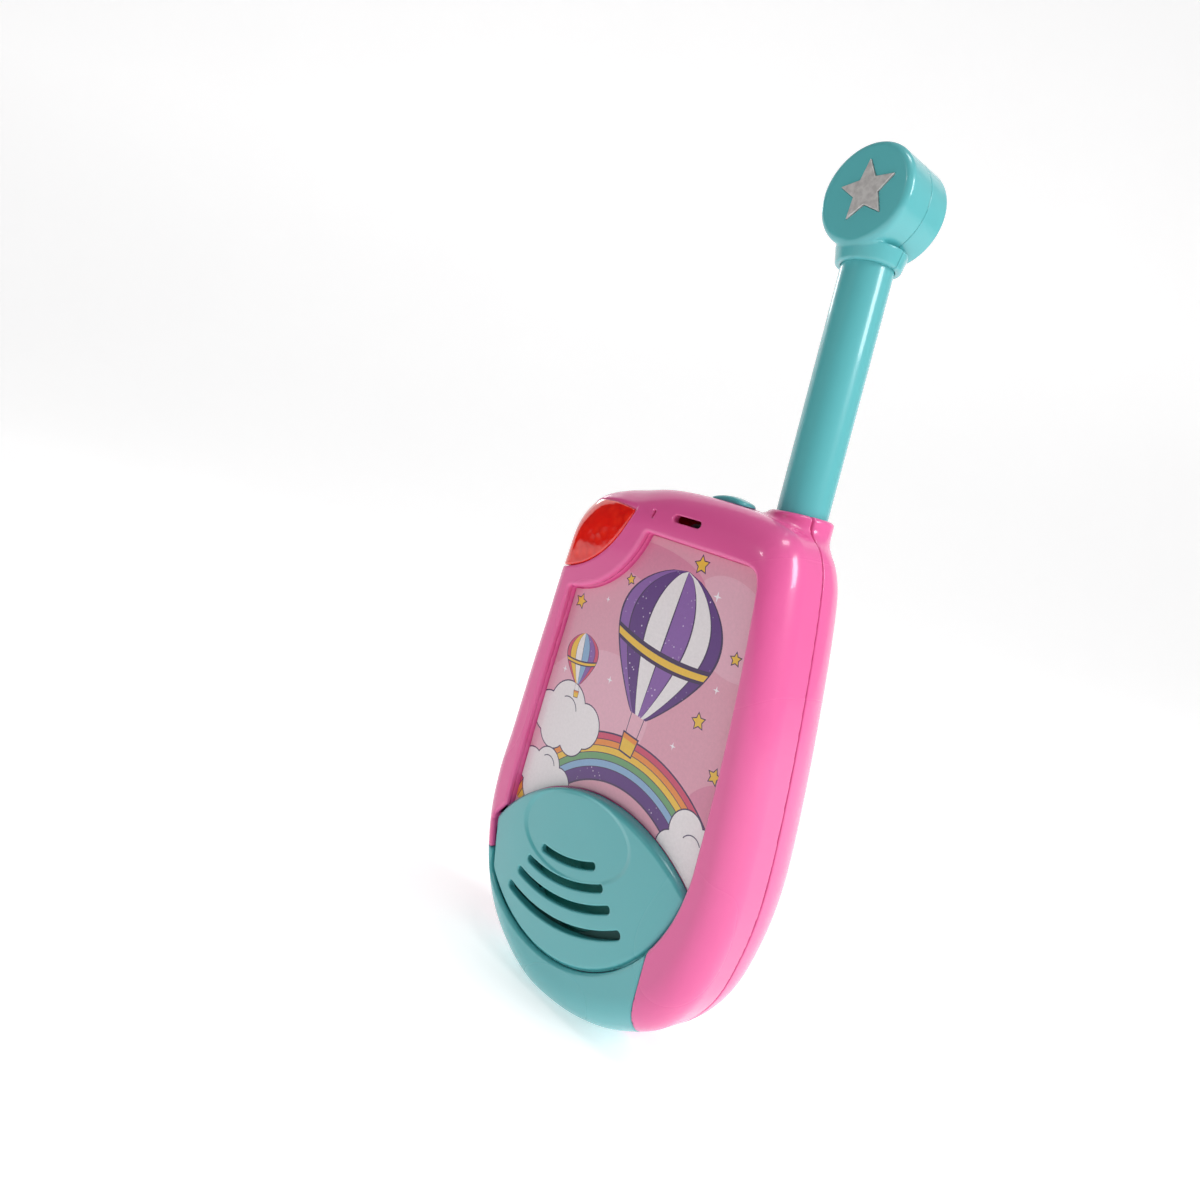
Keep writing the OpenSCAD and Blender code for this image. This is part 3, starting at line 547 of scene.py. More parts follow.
def battery_door(x, y, z):
    """The door with three finger ribs and its two screw holes."""
    d = both(both(door_form(x, z, 0.0), 12.0 - y), body(x, y, z), 0.3)
    for zr in (26, 29, 32):
        d = either(d, block(x, y, z, (-9, 12.9, zr), (9, 14.0, zr + 1.2), 0.4), 0.2)
    for zc in DOOR_SCREW_Z:
        d = cut(d, rod_y(x, y, z, (0, zc), SCREW_HOLE_R, 5, 20))
        d = cut(d, rod_y(x, y, z, (0, zc), 2.5, HALF_D - 1.0, 20), 0.15)
    return d


def belt_clip(x, y, z):
    """A blade with three grip ribs on a round knuckle about the pin."""
    width = np.abs(x) - (CLIP_W / 2 - 0.3)
    blade = both(clip_poly(y, z), width, 0.6)
    knuckle = both(disc(y, z, (CLIP_Y, CLIP_Z), 2.9), width, 0.3)
    d = either(blade, knuckle, 0.4)
    for zr in (106.2, 107.8, 109.4):
        d = either(d, both(np.hypot(y - 19.15 - 0.22 * (110.6 - zr), z - zr) - 0.42,
                           np.abs(x) - 4.6, 0.3), 0.15)
    d = cut(d, both(disc(y, z, (CLIP_Y, CLIP_Z), 1.27), np.abs(x) - 20))
    return cut(d, block(x, y, z, (-2.6, CLIP_Y - 3.4, CLIP_Z - 3.2),
                        (2.6, CLIP_Y + 2.6, CLIP_Z + 3.0), 0.2))


# --------------------------------------------------------- from shape to mesh
def net(shape, lo, hi, step):
    """Vertices and quads of the surface where shape() is zero."""
    n = [int(math.ceil((hi[i] - lo[i]) / step)) + 1 for i in range(3)]
    ax = [(lo[i] + step * np.arange(n[i])).astype(F32) for i in range(3)]
    val = shape(ax[0][:, None, None], ax[1][None, :, None], ax[2][None, None, :])
    val = np.ascontiguousarray(np.broadcast_to(val, n)).astype(F32)
    val[val == 0] = 1e-6
    sign = val < 0
    cells = np.array([n[0] - 1, n[1] - 1, n[2] - 1])
    ids, pos, quads = [], [], []
    for a in range(3):
        s0 = [slice(None)] * 3
        s1 = [slice(None)] * 3
        s0[a], s1[a] = slice(0, -1), slice(1, None)
        v0, v1 = val[tuple(s0)], val[tuple(s1)]
        idx = np.argwhere(sign[tuple(s0)] != sign[tuple(s1)])
        e0 = v0[tuple(idx.T)]
        e1 = v1[tuple(idx.T)]
        point = idx.astype(float)
        point[:, a] += e0 / (e0 - e1)
        b, c = (a + 1) % 3, (a + 2) % 3
        corners, good = [], np.ones(len(idx), bool)
        for ob, oc in ((-1, -1), (0, -1), (0, 0), (-1, 0)):
            cell = idx.copy()
            cell[:, b] += ob
            cell[:, c] += oc
            ok = ((cell >= 0) & (cell < cells)).all(1)
            good &= ok
            cell = np.clip(cell, 0, cells - 1)
            flat = (cell[:, 0] * cells[1] + cell[:, 1]) * cells[2] + cell[:, 2]
            corners.append(flat)
            ids.append(flat[ok])
            pos.append(point[ok])
        q = np.stack(corners, 1)
        flip = e0 > 0
        q[flip] = q[flip][:, ::-1]
        quads.append(q[good])
    ids, pos, quads = np.concatenate(ids), np.concatenate(pos), np.concatenate(quads)
    used, inv = np.unique(ids, return_inverse=True)
    count = np.bincount(inv)
    verts = np.stack([np.bincount(inv, pos[:, k]) / count for k in range(3)], 1)
    verts = verts * step + np.array(lo, float)
    return verts, np.searchsorted(used, quads)


def gradient(shape, p, h):
    """Slope of the shape at the points p, from places h to each side."""
    g = np.zeros_like(p)
    for k in range(3):
        d = np.zeros(3)
        d[k] = h
        g[:, k] = shape(*(p + d).T) - shape(*(p - d).T)
    return g / (2 * h)


def settle(shape, p, step):
    """Moves the vertices on to the exact surface; returns them with normals."""
    start = p.copy()
    reach = 0.75 * step  # no vertex moves further than this
    for _ in range(4):
        g = gradient(shape, p, 0.03)
        steep = np.maximum((g * g).sum(1), 0.05)
        p = p - (shape(*p.T) / steep)[:, None] * g
        away = p - start
        far = np.linalg.norm(away, axis=1)
        p = start + away * np.minimum(1, reach / np.maximum(far, 1e-9))[:, None]
    g = gradient(shape, p, 0.10)
    return p, g / np.maximum(np.linalg.norm(g, axis=1), 1e-9)[:, None]


def new_object(name, verts, faces, mats, normals=None, face_mats=None):
    """A mesh object from vertices in mm; with normals it is shaded smooth."""
    me = bpy.data.meshes.new(name)
    if isinstance(faces, np.ndarray):
        me.vertices.add(len(verts))
        me.vertices.foreach_set("co", (verts * MM).astype(F32).ravel())
        me.loops.add(faces.size)
        me.loops.foreach_set("vertex_index", faces.astype(np.int32).ravel())
        me.polygons.add(len(faces))
        k = faces.shape[1]
        starts = np.arange(0, faces.size, k, dtype=np.int32)
        me.polygons.foreach_set("loop_start", starts)
    else:
        me.from_pydata([tuple(float(c) * MM for c in v) for v in verts], [], faces)
    me.update(calc_edges=True)
    me.validate()
    for m in mats:
        me.materials.append(m)
    if face_mats is not None:
        me.polygons.foreach_set("material_index", face_mats)
    ob = bpy.data.objects.new(name, me)
    bpy.context.scene.collection.objects.link(ob)
    if normals is not None and len(me.vertices) == len(normals):
        me.polygons.foreach_set("use_smooth", np.ones(len(me.polygons), bool))
        me.normals_split_custom_set_from_vertices(normals.astype(F32).tolist())
    return ob


def piece(name, shape, lo, hi, step, mat, rides, nodes, second=None):
    """Meshes a shape, gives it its finish and lets it stand for CAD nodes."""
    verts, faces = net(shape, lo, hi, step)
    verts, normals = settle(shape, verts, step)
    mats, which = [mat], None
    if second is not None:  # another finish where the second shape is solid
        mid = verts[faces].mean(axis=1)
        which = (second[1](mid[:, 0], mid[:, 1], mid[:, 2]) < 0).astype(np.int32)
        mats.append(second[0])
    ob = new_object(name, verts, faces, mats, normals, which)
    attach(ob, rides)
    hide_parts(*nodes)


# ------------------------------------------------------------------ materials
def srgb(r, g, b):
    """A screen colour, 0 to 255, as linear RGBA."""
    out = []
    for c in (r, g, b):
        c /= 255
        out.append(c / 12.92 if c <= 0.04045 else ((c + 0.055) / 1.055)**2.4)
    return (*out, 1.0)


class Mat:
    """A Principled material with small helpers for its nodes."""

    def __init__(self, name, **sockets):
        self.m = bpy.data.materials.new(name)
        self.m.use_nodes = True
        self.t = self.m.node_tree
        self.p = self.t.nodes["Principled BSDF"]
        for k, v in sockets.items():
            self.p.inputs[k.replace("_", " ")].default_value = v
        self.coord = self.t.nodes.new("ShaderNodeTexCoord").outputs["Object"]

    def node(self, kind, **props):
        n = self.t.nodes.new(kind)
        for k, v in props.items():
            setattr(n, k, v)
        return n

    def put(self, socket, value):
        if isinstance(value, bpy.types.NodeSocket):
            self.t.links.new(value, socket)
        else:
            socket.default_value = value

    def noise(self, scale, detail=2.0, rough=0.5, stretch=(1, 1, 1)):
        mp = self.node("ShaderNodeMapping")
        mp.inputs["Scale"].default_value = stretch
        self.put(mp.inputs["Vector"], self.coord)
        n = self.node("ShaderNodeTexNoise")
        self.put(n.inputs["Vector"], mp.outputs["Vector"])
        for k, v in (("Scale", scale), ("Detail", detail), ("Roughness", rough)):
            n.inputs[k].default_value = v
        return n.outputs["Fac"]

    def remap(self, value, a, b, c, d):
        n = self.node("ShaderNodeMapRange")
        self.put(n.inputs["Value"], value)
        for k, v in zip(("From Min", "From Max", "To Min", "To Max"), (a, b, c, d)):
            n.inputs[k].default_value = v
        return n.outputs["Result"]

    def mix(self, fac, a, b):
        n = self.node("ShaderNodeMix", data_type="RGBA")
        self.put(n.inputs[0], fac)  # inputs 6 and 7 and output 2 are its colours
        self.put(n.inputs[6], a)
        self.put(n.inputs[7], b)
        return n.outputs[2]

    def times(self, a, b):
        n = self.node("ShaderNodeMath", operation="MULTIPLY")
        self.put(n.inputs[0], a)
        self.put(n.inputs[1], b)
        return n.outputs[0]

    def bump(self, height, strength, distance):
        n = self.node("ShaderNodeBump")
        n.inputs["Strength"].default_value = strength
        n.inputs["Distance"].default_value = distance
        self.put(n.inputs["Height"], height)
        self.put(self.p.inputs["Normal"], n.outputs["Normal"])

    def link(self, name, value):
        self.put(self.p.inputs[name], value)


def shade(rgba, k):
    """A colour made k times as bright."""
    return (*(min(1.0, c * k) for c in rgba[:3]), 1.0)


def plastic(name, rgb, rough, coat=0.5, tint=0.006):
    """Moulded toy plastic: faint flow in its colour and gloss."""
    base = srgb(*rgb)
    m = Mat(name, Coat_Weight=coat, Coat_Roughness=0.06, IOR=1.49)
    flow = m.remap(m.noise(24, 0, 0.4), 0.0, 1.0, 0, 1)
    m.link("Base Color", m.mix(flow, shade(base, 1 - tint), shade(base, 1 + tint)))
    m.link("Roughness", m.remap(flow, 0, 1, rough - 0.02, rough + 0.02))
    return m.m


def metal(name, rgb, rough):
    """Drawn metal with fine marks along Z."""
    m = Mat(name, Metallic=1.0)
    base = srgb(*rgb)
    m.link("Base Color", m.mix(m.noise(300, 3), shade(base, 0.85), shade(base, 1.05)))
    m.link("Roughness", m.remap(m.noise(900, 3, 0.6, (1, 1, 0.2)), 0.3, 0.7,
                                rough - 0.08, rough + 0.1))
    m.bump(m.noise(1500, 2, 0.6, (1, 1, 0.1)), 0.15, 0.00004)
    return m.m


def ink(name, rgb, glitter):
    """Offset print under a clear film, with faint paper mottling."""
    base = srgb(*rgb)
    m = Mat(name, Coat_Weight=0.55, Coat_Roughness=0.1, IOR=1.45)
    mottle = m.noise(1400, 3, 0.6)
    wash = m.noise(60, 2, 0.5)
    col = m.mix(m.remap(mottle, 0.35, 0.7, 0, 1), shade(base, 0.95), shade(base, 1.03))
    col = m.mix(m.remap(wash, 0.3, 0.7, 0, 0.22), col, shade(base, 0.9))
    if glitter:
        v = m.node("ShaderNodeTexVoronoi")
        m.put(v.inputs["Vector"], m.coord)
        v.inputs["Scale"].default_value = 900
        spots = m.remap(v.outputs["Distance"], 0.12, 0.2, glitter, 0)
        patch = m.remap(m.noise(190, 2), 0.45, 0.6, 0, 1)
        col = m.mix(m.times(spots, patch), col, srgb(235, 215, 240))
    m.link("Base Color", col)
    m.link("Roughness", m.remap(mottle, 0.3, 0.7, 0.3, 0.42))
    m.bump(m.noise(500, 2), 0.05, 0.00005)
    return m.m


PINK = plastic("pink_shell", (238, 96, 162), rough=0.27)
TEAL = plastic("teal_plastic", (92, 184, 188), rough=0.27)
# painted shade: a dark teal finish on the slots' floors stands in for the shade deep in the
# slots
SLOT_SHADE = plastic("slot_painted_shade", (6, 84, 80), rough=0.6, coat=0.0, tint=0.03)
BLACK = plastic("black_plastic", (26, 26, 28), rough=0.4, tint=0.1)
WHITE = plastic("white_plastic", (232, 230, 224), rough=0.35)
STEEL = metal("plated_steel", (186, 188, 192), 0.28)
COPPER = metal("copper_wire", (196, 120, 72), 0.32)


def red_lens():
    """Clear red plastic, faceted inside, with painted glints on its facets and a faint
    painted glow.
    """
    m = Mat("red_lens", Roughness=0.08, Transmission_Weight=0.22, IOR=1.5,
            Coat_Weight=1.0, Coat_Roughness=0.03)
    # painted glow: a faint red emission stands in for light passing through the clear
    # plastic
    m.p.inputs["Emission Color"].default_value = srgb(255, 30, 10)
    m.p.inputs["Emission Strength"].default_value = 0.12
    cells = m.node("ShaderNodeTexVoronoi", feature="F1")
    m.put(cells.inputs["Vector"], m.coord)
    cells.inputs["Scale"].default_value = 420
    dist = cells.outputs["Distance"]
    # painted glints: each facet is a lighter orange at its centre and darker red at its
    # edges, for the light the facets catch
    deep = m.mix(m.remap(dist, 0.0, 0.7, 0, 1), srgb(255, 56, 30), srgb(212, 16, 12))
    cloud = m.remap(m.noise(160, 3), 0.35, 0.65, 0, 1)
    m.link("Base Color", m.mix(cloud, deep, srgb(236, 26, 14)))
    m.bump(dist, 0.2, 0.0002)
    return m.m


def board_mat():
    """Green laminate with a faint weave."""
    m = Mat("board_laminate", Coat_Weight=0.3, Coat_Roughness=0.15)
    wave = m.node("ShaderNodeTexBrick")
    m.put(wave.inputs["Vector"], m.coord)
    wave.inputs["Scale"].default_value = 260
    wave.inputs["Color1"].default_value = srgb(24, 96, 60)
    wave.inputs["Color2"].default_value = srgb(20, 84, 54)
    wave.inputs["Mortar"].default_value = srgb(46, 130, 84)
    wave.inputs["Mortar Size"].default_value = 0.03
    m.link("Base Color", wave.outputs["Color"])
    m.link("Roughness", m.remap(m.noise(800), 0.3, 0.7, 0.3, 0.42))
    return m.m


def cell_mat():
    """A blue wrap that turns silver above 53.6 mm."""
    m = Mat("cell_wrap", Coat_Weight=0.3, Coat_Roughness=0.1)
    g = m.node("ShaderNodeSeparateXYZ")
    m.put(g.inputs[0], m.coord)
    silver = m.remap(g.outputs["Z"], 0.0535, 0.0537, 0, 1)
    col = m.mix(silver, srgb(44, 78, 150), srgb(214, 216, 220))
    m.link("Base Color", m.mix(m.remap(m.noise(500), 0.4, 0.6, 0, 0.12), col,
                               srgb(24, 40, 90)))
    m.link("Roughness", m.remap(m.noise(900), 0.3, 0.7, 0.22, 0.34))
    return m.m


def wire_mat():
    """Red sleeve."""
    m = Mat("wire_sleeve", Coat_Weight=0.1)
    m.link("Base Color", m.mix(m.noise(600), srgb(150, 18, 20), srgb(182, 30, 28)))
    m.link("Roughness", m.remap(m.noise(900), 0.3, 0.7, 0.38, 0.5))
    return m.m


def star_mat():
    """Hot-stamped silver foil on a white star."""
    m = Mat("silver_foil", Metallic=0.35, Coat_Weight=0.2, Coat_Roughness=0.2)
    m.link("Base Color", m.mix(m.remap(m.noise(900, 3), 0.35, 0.65, 0, 1),
                               srgb(196, 192, 190), srgb(222, 219, 216)))
    m.link("Roughness", m.remap(m.noise(1600, 3), 0.3, 0.7, 0.34, 0.48))
    m.bump(m.noise(1300, 3), 0.1, 0.00005)
    return m.m


LENS = red_lens()
BOARD_M = board_mat()
CELL = cell_mat()
WIRE = wire_mat()
STAR = star_mat()
PAPER = plastic("cone_paper", (30, 150, 142), rough=0.6, coat=0.0)
FERRITE = plastic("ferrite", (58, 56, 60), rough=0.5, coat=0.0)

# --------------------------------------------------------------- main pieces
ROOT = "walkie_body"
piece("shell_front", front_shell, (-42.2, -14.6, -1), (41.5, 0.7, 123), 0.42, PINK,
      ROOT, ["front_shell"])
piece("shell_rear", rear_shell, (-42.2, -3.9, -1), (41.5, 20.6, 123), 0.46, PINK,
      ROOT, ["rear_shell"])
piece("trim_lower", bottom_trim, (-42.2, -14.6, -1), (28, 0.7, 38), 0.36, TEAL,
      ROOT, ["bottom_trim"])
# the slots' floors take the painted shade, a dark teal finish
piece("cover_speaker", speaker_cover, (-40.6, -15.4, 8.4), (32, -8.4, 53.5), 0.3, TEAL,
      ROOT, ["speaker_cover"], (SLOT_SHADE, slot_shade_floor))
piece("lamp_lens", lamp_lens, (-38, -14.4, 93), (-6, 1, 122.6), 0.28, LENS,
      ROOT, ["light_lens"])
piece("head_front", head_front, (10.2, -4.6, 173.2), (32.4, 4.2, 197.8), 0.25, TEAL,
      ROOT, ["antenna_head"])
piece("head_rear", head_rear, (10.2, 3.0, 173.2), (32.4, 11.9, 197.8), 0.28, TEAL,
      ROOT, ["antenna_head_rear"])
piece("switch_slider", power_slider, (0.9, -6.0, 112.6), (14.1, -0.2, 124.4), 0.16, TEAL,
      "power_slider", ["power_slider"])
piece("button_talk", talk_button, (-40.8, -6.6, 59.8), (-28.4, 6.6, 86.2), 0.25, TEAL,
      "talk_button", ["talk_button"])
piece("door_battery", battery_door, (-19.8, 11.5, 8.8), (19.8, 14.6, 77.2), 0.3, PINK,
      "battery_door", ["battery_door"])
piece("clip_belt", belt_clip, (-7.3, 13.2, 76.8), (7.3, 21.0, 111.4), 0.25, TEAL,
      "belt_clip", ["belt_clip"])


def prism(name, outline, y0, y1, bevel, mat, rides, nodes):
    """An outline in the XZ plane given thickness along Y, with bevelled edges."""
    bm = bmesh.new()
    loop = [bm.verts.new((x * MM, y0 * MM, z * MM)) for x, z in outline]
    face = bm.faces.new(loop)
    out = bmesh.ops.extrude_face_region(bm, geom=[face])
    moved = [v for v in out["geom"] if isinstance(v, bmesh.types.BMVert)]
    bmesh.ops.translate(bm, vec=(0, (y1 - y0) * MM, 0), verts=moved)
    bmesh.ops.recalc_face_normals(bm, faces=bm.faces)
    me = bpy.data.meshes.new(name)
    bm.to_mesh(me)
    bm.free()
    me.materials.append(mat)
    ob = bpy.data.objects.new(name, me)
    bpy.context.scene.collection.objects.link(ob)
    mod = ob.modifiers.new("edge", "BEVEL")
    mod.width, mod.segments, mod.limit_method = bevel * MM, 3, "ANGLE"
    mod.harden_normals = True
    for p in me.polygons:
        p.use_smooth = True
    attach(ob, rides)
    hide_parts(*nodes)


STAR_PTS = [(STAR_C[0] + u, STAR_C[1] + v) for u, v in star_points(6.3)]
prism("star_silver", STAR_PTS, ANT[1] - 7.92, ANT[1] - 6.93, 0.14, STAR, ROOT,
      ["star_inlay"])


# ------------------------------------------------------------ the printed art
def circle(c, r, n=40, ry=None, turn=0.0):
    """Points round a circle, or round an ellipse turned by some degrees."""
    ry = r if ry is None else ry
    t = math.radians(turn)
    out = []
    for i in range(n):
        a = 2 * math.pi * i / n
        u, v = r * math.cos(a), ry * math.sin(a)
        out.append((c[0] + u * math.cos(t) - v * math.sin(t),
                    c[1] + u * math.sin(t) + v * math.cos(t)))
    return out


def band(c, r0, r1, a0, a1, n=60):
    """A curved strip between two radii and two angles."""
    ts = [math.radians(a0 + (a1 - a0) * i / n) for i in range(n + 1)]
    return ([(c[0] + r1 * math.cos(t), c[1] + r1 * math.sin(t)) for t in ts]
            + [(c[0] + r0 * math.cos(t), c[1] + r0 * math.sin(t)) for t in ts[::-1]])


def star(c, r, inner, turn, points=5):
    """A star whose inner corners lie at that share of its radius."""
    out = []
    for i in range(2 * points):
        a = math.radians(turn + 90 + 180 * i / points)
        k = r if i % 2 == 0 else r * inner
        out.append((c[0] + k * math.cos(a), c[1] + k * math.sin(a)))
    return out


ART = []  # (ink, outline), in the order of printing


def draw(colour, outline):
    ART.append((colour, outline))


def outlined(colour, shapes):
    """Circles that share one drawn outline."""
    for grow, col in ((0.3, "line"), (0.0, colour)):
        for c, r in shapes:
            draw(col, circle(c, r + grow))


def sky():
    draw("sky_light", circle((-14, 66), 21, 60, 15, 24))
    draw("sky_light", circle((22, 96), 13, 50, 9, -30))
    draw("sky_deep", circle((33, 59), 12, 50, 7.5, 15))
    draw("sky_deep", circle((-2, 104), 15, 50, 4.5, -8))


def rainbow():
    """Six bands over the speaker cover, on a dark strip that outlines them."""
    c, a0, a1 = (3.0, 26.5), 20, 160
    edge = [28.0, 30.9, 32.6, 34.2, 35.8, 37.3, 38.8]
    draw("line", band(c, edge[0] - 0.3, edge[-1] + 0.3, a0, a1))
    for k, col in enumerate(("purple_deep", "sky_blue", "green", "yellow", "orange",
                             "rose")):
        draw(col, band(c, edge[k] + 0.09, edge[k + 1] - 0.09, a0, a1))


def balloon(c, size, colours, tilt=0.0):
    """A hot-air balloon with coloured gores and a basket."""
    ca, sa = math.cos(math.radians(tilt)), math.sin(math.radians(tilt))

    tall, low = 34, 17  # the hull's height, and how far it reaches below c

    def at(u, v):
        return (c[0] + size * (u * ca - v * sa), c[1] + size * (u * sa + v * ca))

    def half(t):  # half width at the share t of the height
        return 14.6 * (max(0.0, math.sin(math.pi * t**1.45)) ** 0.62) + 2.3 * (1 - t)

    ts = [i / 36 for i in range(37)]
    edges = [-1.0, -0.78, -0.42, 0.0, 0.42, 0.78, 1.0]

    def side(k, extra=0.0):
        return [at(k * half(t) + (extra if k >= 0 else -extra), tall * t - low)
                for t in ts]

    def sagging(t, steps):
        return [at(half(t) * k / 8, tall * t - low - 1.6 * (1 - (k / 8)**2))
                for k in steps]

    hull = side(1, 0.35) + side(-1, 0.35)[::-1]
    draw("line", hull)
    for i in range(len(edges) - 1):
        k0, k1 = edges[i] + 0.012, edges[i + 1] - 0.012
        draw(colours[i % len(colours)], side(k1) + side(k0)[::-1])
    for lo_t, hi_t, col in ((0.40, 0.43, "line"), (0.425, 0.475, "yellow"),
                            (0.47, 0.50, "line")):
        draw(col, sagging(lo_t, range(-8, 9)) + sagging(hi_t, range(8, -9, -1)))
    for s in (-1, 1):
        draw("line", [at(s * 2.2, -low), at(s * 2.0, -low), at(s * 1.75, -22),
                      at(s * 1.95, -22)])
    draw("line", [at(-2.7, -21.6), at(2.7, -21.6), at(2.2, -26.4), at(-2.2, -26.4)])
    draw("yellow", [at(-2.3, -22.0), at(2.3, -22.0), at(1.9, -26.0), at(-1.9, -26.0)])
    draw("orange", [at(-2.3, -22.0), at(2.3, -22.0), at(2.2, -23.1), at(-2.2, -23.1)])


def art():
    """The whole picture, from the back to the front."""
    sky()
    for p, r, t in (((10.2, 107.0), 1.9, 8), ((-24.6, 91.0), 1.7, -10),
                    ((19.9, 75.7), 1.7, 12), ((27.4, 66.6), 1.6, -8),
                    ((-9.6, 99.6), 1.2, 20), ((25.2, 90.5), 1.3, 5)):
        draw("line", star(p, r + 0.45, 0.52, t))
        draw("yellow", star(p, r, 0.5, t))
    rainbow()
    outlined("cloud", [((-27, 62.5), 5.0), ((-20.5, 65.5), 6.4), ((-13.2, 63.2), 5.2),
                       ((-23.5, 59.3), 4.8), ((-16.5, 59.6), 4.6)])
    balloon((5.0, 88.0), 1.0, ["purple", "purple_deep", "cloud", "purple", "cloud",
                               "purple_deep"], -7)
    balloon((-19.5, 78.0), 0.36, ["rose", "yellow", "cloud", "sky_blue", "purple",
                                  "rose"], 6)
    outlined("cloud", [((24.0, 53.2), 4.6), ((29.5, 51.0), 4.8), ((20.6, 48.2), 3.8),
                       ((26.5, 46.2), 5.2), ((31, 45), 4)])
    outlined("cloud", [((-28.4, 48.0), 4.4), ((-22.6, 49.8), 4.6), ((-17.2, 47.2), 3.8),
                       ((-25, 44), 5)])
    draw("line", band((-22.6, 49.8), 2.6, 2.85, 20, 130, 20))
    draw("line", band((26.0, 50.6), 2.6, 2.85, 30, 150, 20))
    draw("line", band((-20.5, 64.6), 3.4, 3.65, 15, 120, 20))
    for p, r in (((16.5, 101.5), 1.2), ((-8.5, 76.0), 1.0), ((22.4, 83.2), 0.9),
                 ((-24.5, 74.0), 0.9), ((14.8, 68.5), 0.9), ((-15.5, 93.5), 0.8)):
        draw("sparkle", star(p, r, 0.28, 0, 4))


# the first ink covers all that nothing is drawn on
INKS = {"sky": (230, 164, 184), "sky_light": (236, 180, 198), "sky_deep": (224, 140, 170),
        "line": (62, 34, 84), "purple_deep": (92, 42, 128), "purple": (140, 92, 172),
        "sky_blue": (142, 178, 214), "green": (112, 164, 112), "yellow": (244, 196, 66),
        "orange": (240, 144, 62), "rose": (214, 74, 110), "cloud": (243, 236, 238),
        "sparkle": (252, 244, 250)}


def label():
    """The picture as one thin sheet, cut along every printed edge."""
    art()
    rim = [(x * 0.992, 72 + (z - 72) * 0.992) for x, z in smooth_loop(PICT, 4)]
    hood = circle(HOOD_C, HOOD_R + 0.35, 120)
    cover = [circle(COVER_UP, COVER_UP_R + 0.35, 160),
             circle(COVER_LO, COVER_LO_R + 0.35, 160)]
    shapes = [rim, hood, *cover] + [p for _, p in ART]
    verts, edges = [], []
    for s in shapes:
        k = len(verts)
        verts += [Vector(p) for p in s]
        edges += [(k + i, k + (i + 1) % len(s)) for i in range(len(s))]
    points, _, triangles, _, _, _ = delaunay_2d_cdt(verts, edges, [], 0, 1e-4)
    v = np.array([(p.x, p.y) for p in points])
    f = np.array([list(t) for t in triangles if len(t) == 3])
    x, z = v[f].mean(1).T  # each triangle's middle
    keep = inside(rim, x, z) & ~inside(hood, x, z)
    keep &= ~(inside(cover[0], x, z) & inside(cover[1], x, z))
    keep &= z > 26.2 + 0.233 * (x + 38.3)  # above the cover's left end
    names = list(INKS)
    colour = np.zeros(len(f), int)
    for name, outline in ART:
        colour[inside(outline, x, z)] = names.index(name)
    f, colour = f[keep], colour[keep]
    used, inv = np.unique(f, return_inverse=True)
    f = inv.reshape(f.shape)
    v = v[used]
    p, q = v[f[:, 1]] - v[f[:, 0]], v[f[:, 2]] - v[f[:, 0]]
    area = p[:, 0] * q[:, 1] - p[:, 1] * q[:, 0]
    f[area < 0] = f[area < 0][:, ::-1]
    n = len(v)
    front = np.column_stack([v[:, 0], np.full(n, SHEET_Y[0]), v[:, 1]])
    back = np.column_stack([v[:, 0], np.full(n, SHEET_Y[1]), v[:, 1]])
    sides = {}
    for a, b, d in f:
        for e in ((a, b), (b, d), (d, a)):
            sides[e] = True
    open_sides = [e for e in sides if (e[1], e[0]) not in sides]
    faces = [tuple(t) for t in f] + [tuple(t[::-1] + n) for t in f]
    faces += [(b, a, a + n, b + n) for a, b in open_sides]
    white = len(names)
    mats = [ink(f"print_{k}", rgb, glitter=0.9 if k in ("purple", "purple_deep") else 0)
            for k, rgb in INKS.items()] + [WHITE]
    idx = list(colour) + [white] * (len(faces) - len(f))
    ob = new_object("picture_sheet", np.vstack([front, back]), [tuple(int(i) for i in t)
                    for t in faces], mats, None, np.array(idx, np.int32))
    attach(ob, ROOT)
    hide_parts("picture_label")


label()

# ------------------------------------------- finishes on the carried-over CAD
FINISH = {
    TEAL: ["antenna_tube"],
    WHITE: ["light_reflector"],
    LENS: ["light_led"],
    BLACK: ["switch_nub", "talk_switch", "radio_chips", "microphone"],
    STEEL: ["power_switch", "crystal_can", "speaker_frame", "door_screws",
            "clip_pin", "clip_spring", "shell_screws", "board_screws", "contact_plates",
            "contact_springs"],
    COPPER: ["tuning_coils", "aerial_wire"],
    BOARD_M: ["circuit_board"],
    FERRITE: ["speaker_magnet"],
    PAPER: ["speaker_cone"],
    CELL: ["battery_cells"],
    WIRE: ["speaker_wires", "battery_wires"],
}
for mat, names in FINISH.items():
    for name in names:
        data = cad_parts[name].data
        if not data.materials:
            data.materials.append(mat)
        for i in range(len(data.materials)):
            data.materials[i] = mat

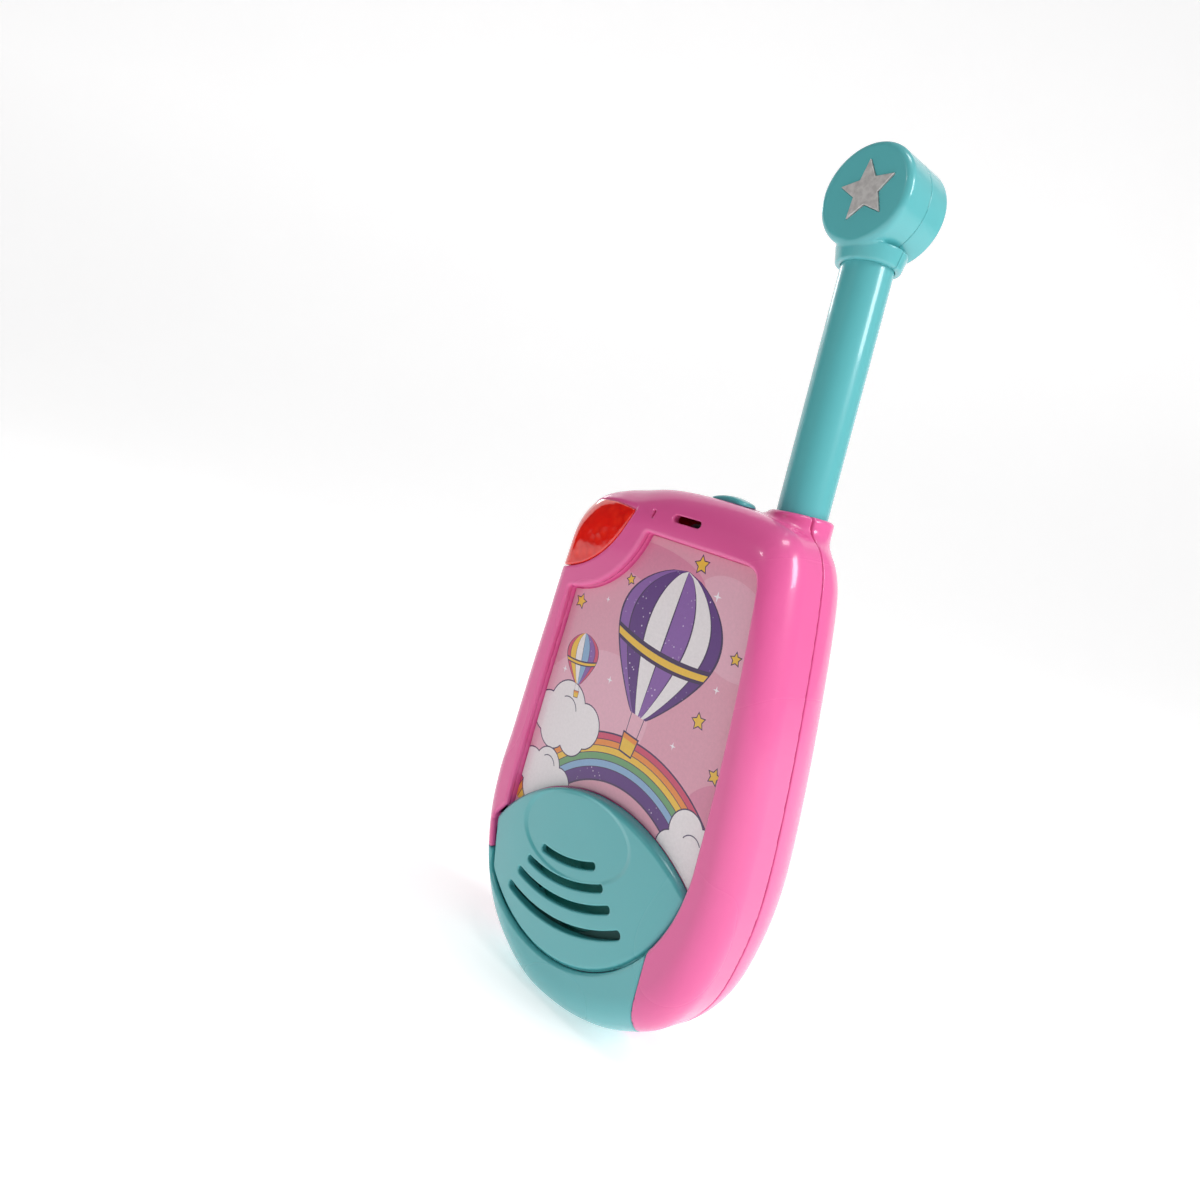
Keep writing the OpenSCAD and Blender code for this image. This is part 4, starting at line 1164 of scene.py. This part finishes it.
# --------------------------------------------------- floor, light and camera
def backdrop():
    """A pale floor that sweeps up behind the part."""
    rows = [(-1.6, 0.0)] + [(y, 0.0) for y in np.linspace(-1.2, 1.2, 13)]
    rows += [(1.2 + 0.9 * math.sin(t), 0.9 - 0.9 * math.cos(t))
             for t in np.linspace(0.1, math.pi / 2, 14)]
    rows += [(2.1, z) for z in (1.4, 2.2, 3.2)]
    az = math.radians(47.6)  # the way that the camera looks
    back = (-math.sin(az), math.cos(az))
    side = (math.cos(az), math.sin(az))
    verts, faces = [], []
    for d, h in rows:
        for s in (-3.2, 3.2):
            verts.append((1000 * (back[0] * d + side[0] * s),
                          1000 * (back[1] * d + side[1] * s), 1000 * h))
    for i in range(len(rows) - 1):
        faces.append((2 * i, 2 * i + 1, 2 * i + 3, 2 * i + 2))
    m = Mat("studio_floor", Roughness=0.8)
    m.link("Base Color", m.mix(m.noise(3, 2), srgb(246, 245, 245), srgb(250, 249, 249)))
    m.p.inputs["Specular IOR Level"].default_value = 0.1
    m.p.inputs["Emission Color"].default_value = (1, 1, 1, 1)
    m.p.inputs["Emission Strength"].default_value = 0.46
    ob = new_object("studio_floor", np.array(verts), faces, [m.m])
    for p in ob.data.polygons:
        p.use_smooth = True


backdrop()
MID = (0, 0, 0.09)  # the lights shine at this point of the part


def area_light(name, where, size, power, colour=(1, 1, 1)):
    """A rectangular light: its place and size in metres, its power in watts."""
    data = bpy.data.lights.new(name, "AREA")
    data.shape = "RECTANGLE"
    data.size, data.size_y = size
    data.energy, data.color = power, colour
    ob = bpy.data.objects.new(name, data)
    ob.location = where
    ob.rotation_mode = "QUATERNION"
    ob.rotation_quaternion = (Vector(MID) - Vector(where)).to_track_quat("-Z", "Y")
    bpy.context.scene.collection.objects.link(ob)


area_light("window", (0.95, 0.18, 0.62), (0.3, 0.5), 5.8, (0.93, 0.97, 1.0))
area_light("overhead", (0.26, -0.12, 1.1), (0.34, 0.2), 1.8)
area_light("kicker", (-0.9, 0.2, 0.48), (0.2, 0.12), 0.5)
area_light("front_fill", (-0.5, -1.1, 0.5), (0.9, 0.7), 0.22, (1.0, 0.92, 0.88))
area_light("sparkle", (-0.3, -0.9, 0.66), (0.08, 0.06), 0.32)

world = bpy.data.worlds.new("studio")
bpy.context.scene.world = world
world.use_nodes = True
wt = world.node_tree
bg = wt.nodes["Background"]
bg.inputs["Color"].default_value = (1, 1, 1, 1)
# brighter towards the window, dim on the side that the front faces
way = wt.nodes.new("ShaderNodeTexCoord")
dot = wt.nodes.new("ShaderNodeVectorMath")
dot.operation = "DOT_PRODUCT"
dot.inputs[1].default_value = (0.86, 0.30, 0.42)
wt.links.new(way.outputs["Generated"], dot.inputs[0])
fade = wt.nodes.new("ShaderNodeMapRange")
for key, value in (("From Min", -0.4), ("From Max", 0.9), ("To Min", 0.04), ("To Max", 0.5)):
    fade.inputs[key].default_value = value
wt.links.new(dot.outputs["Value"], fade.inputs["Value"])
wt.links.new(fade.outputs["Result"], bg.inputs["Strength"])

cam_data = bpy.data.cameras.new("view")
cam_data.sensor_width = 36
cam_data.lens = 36 * 887 / 1200  # a focal length of 887 in a picture 1200 wide
cam_data.clip_start, cam_data.clip_end = 0.005, 20
cam = bpy.data.objects.new("view", cam_data)
RIGHT = (0.63824, 0.73216, 0.23786)
DOWN = (0.22708, 0.11618, -0.96692)
AHEAD = (-0.73558, 0.67115, -0.09211)
rot = Matrix((RIGHT, [-c for c in DOWN], [-c for c in AHEAD])).transposed().to_4x4()
cam.matrix_world = Matrix.Translation((0.13579, -0.15120, 0.11199)) @ rot
bpy.context.scene.collection.objects.link(cam)
bpy.context.scene.camera = cam

scene = bpy.context.scene
scene.view_settings.view_transform = "Standard"
scene.view_settings.look = "None"
scene.view_settings.exposure = 0
scene.view_settings.gamma = 1
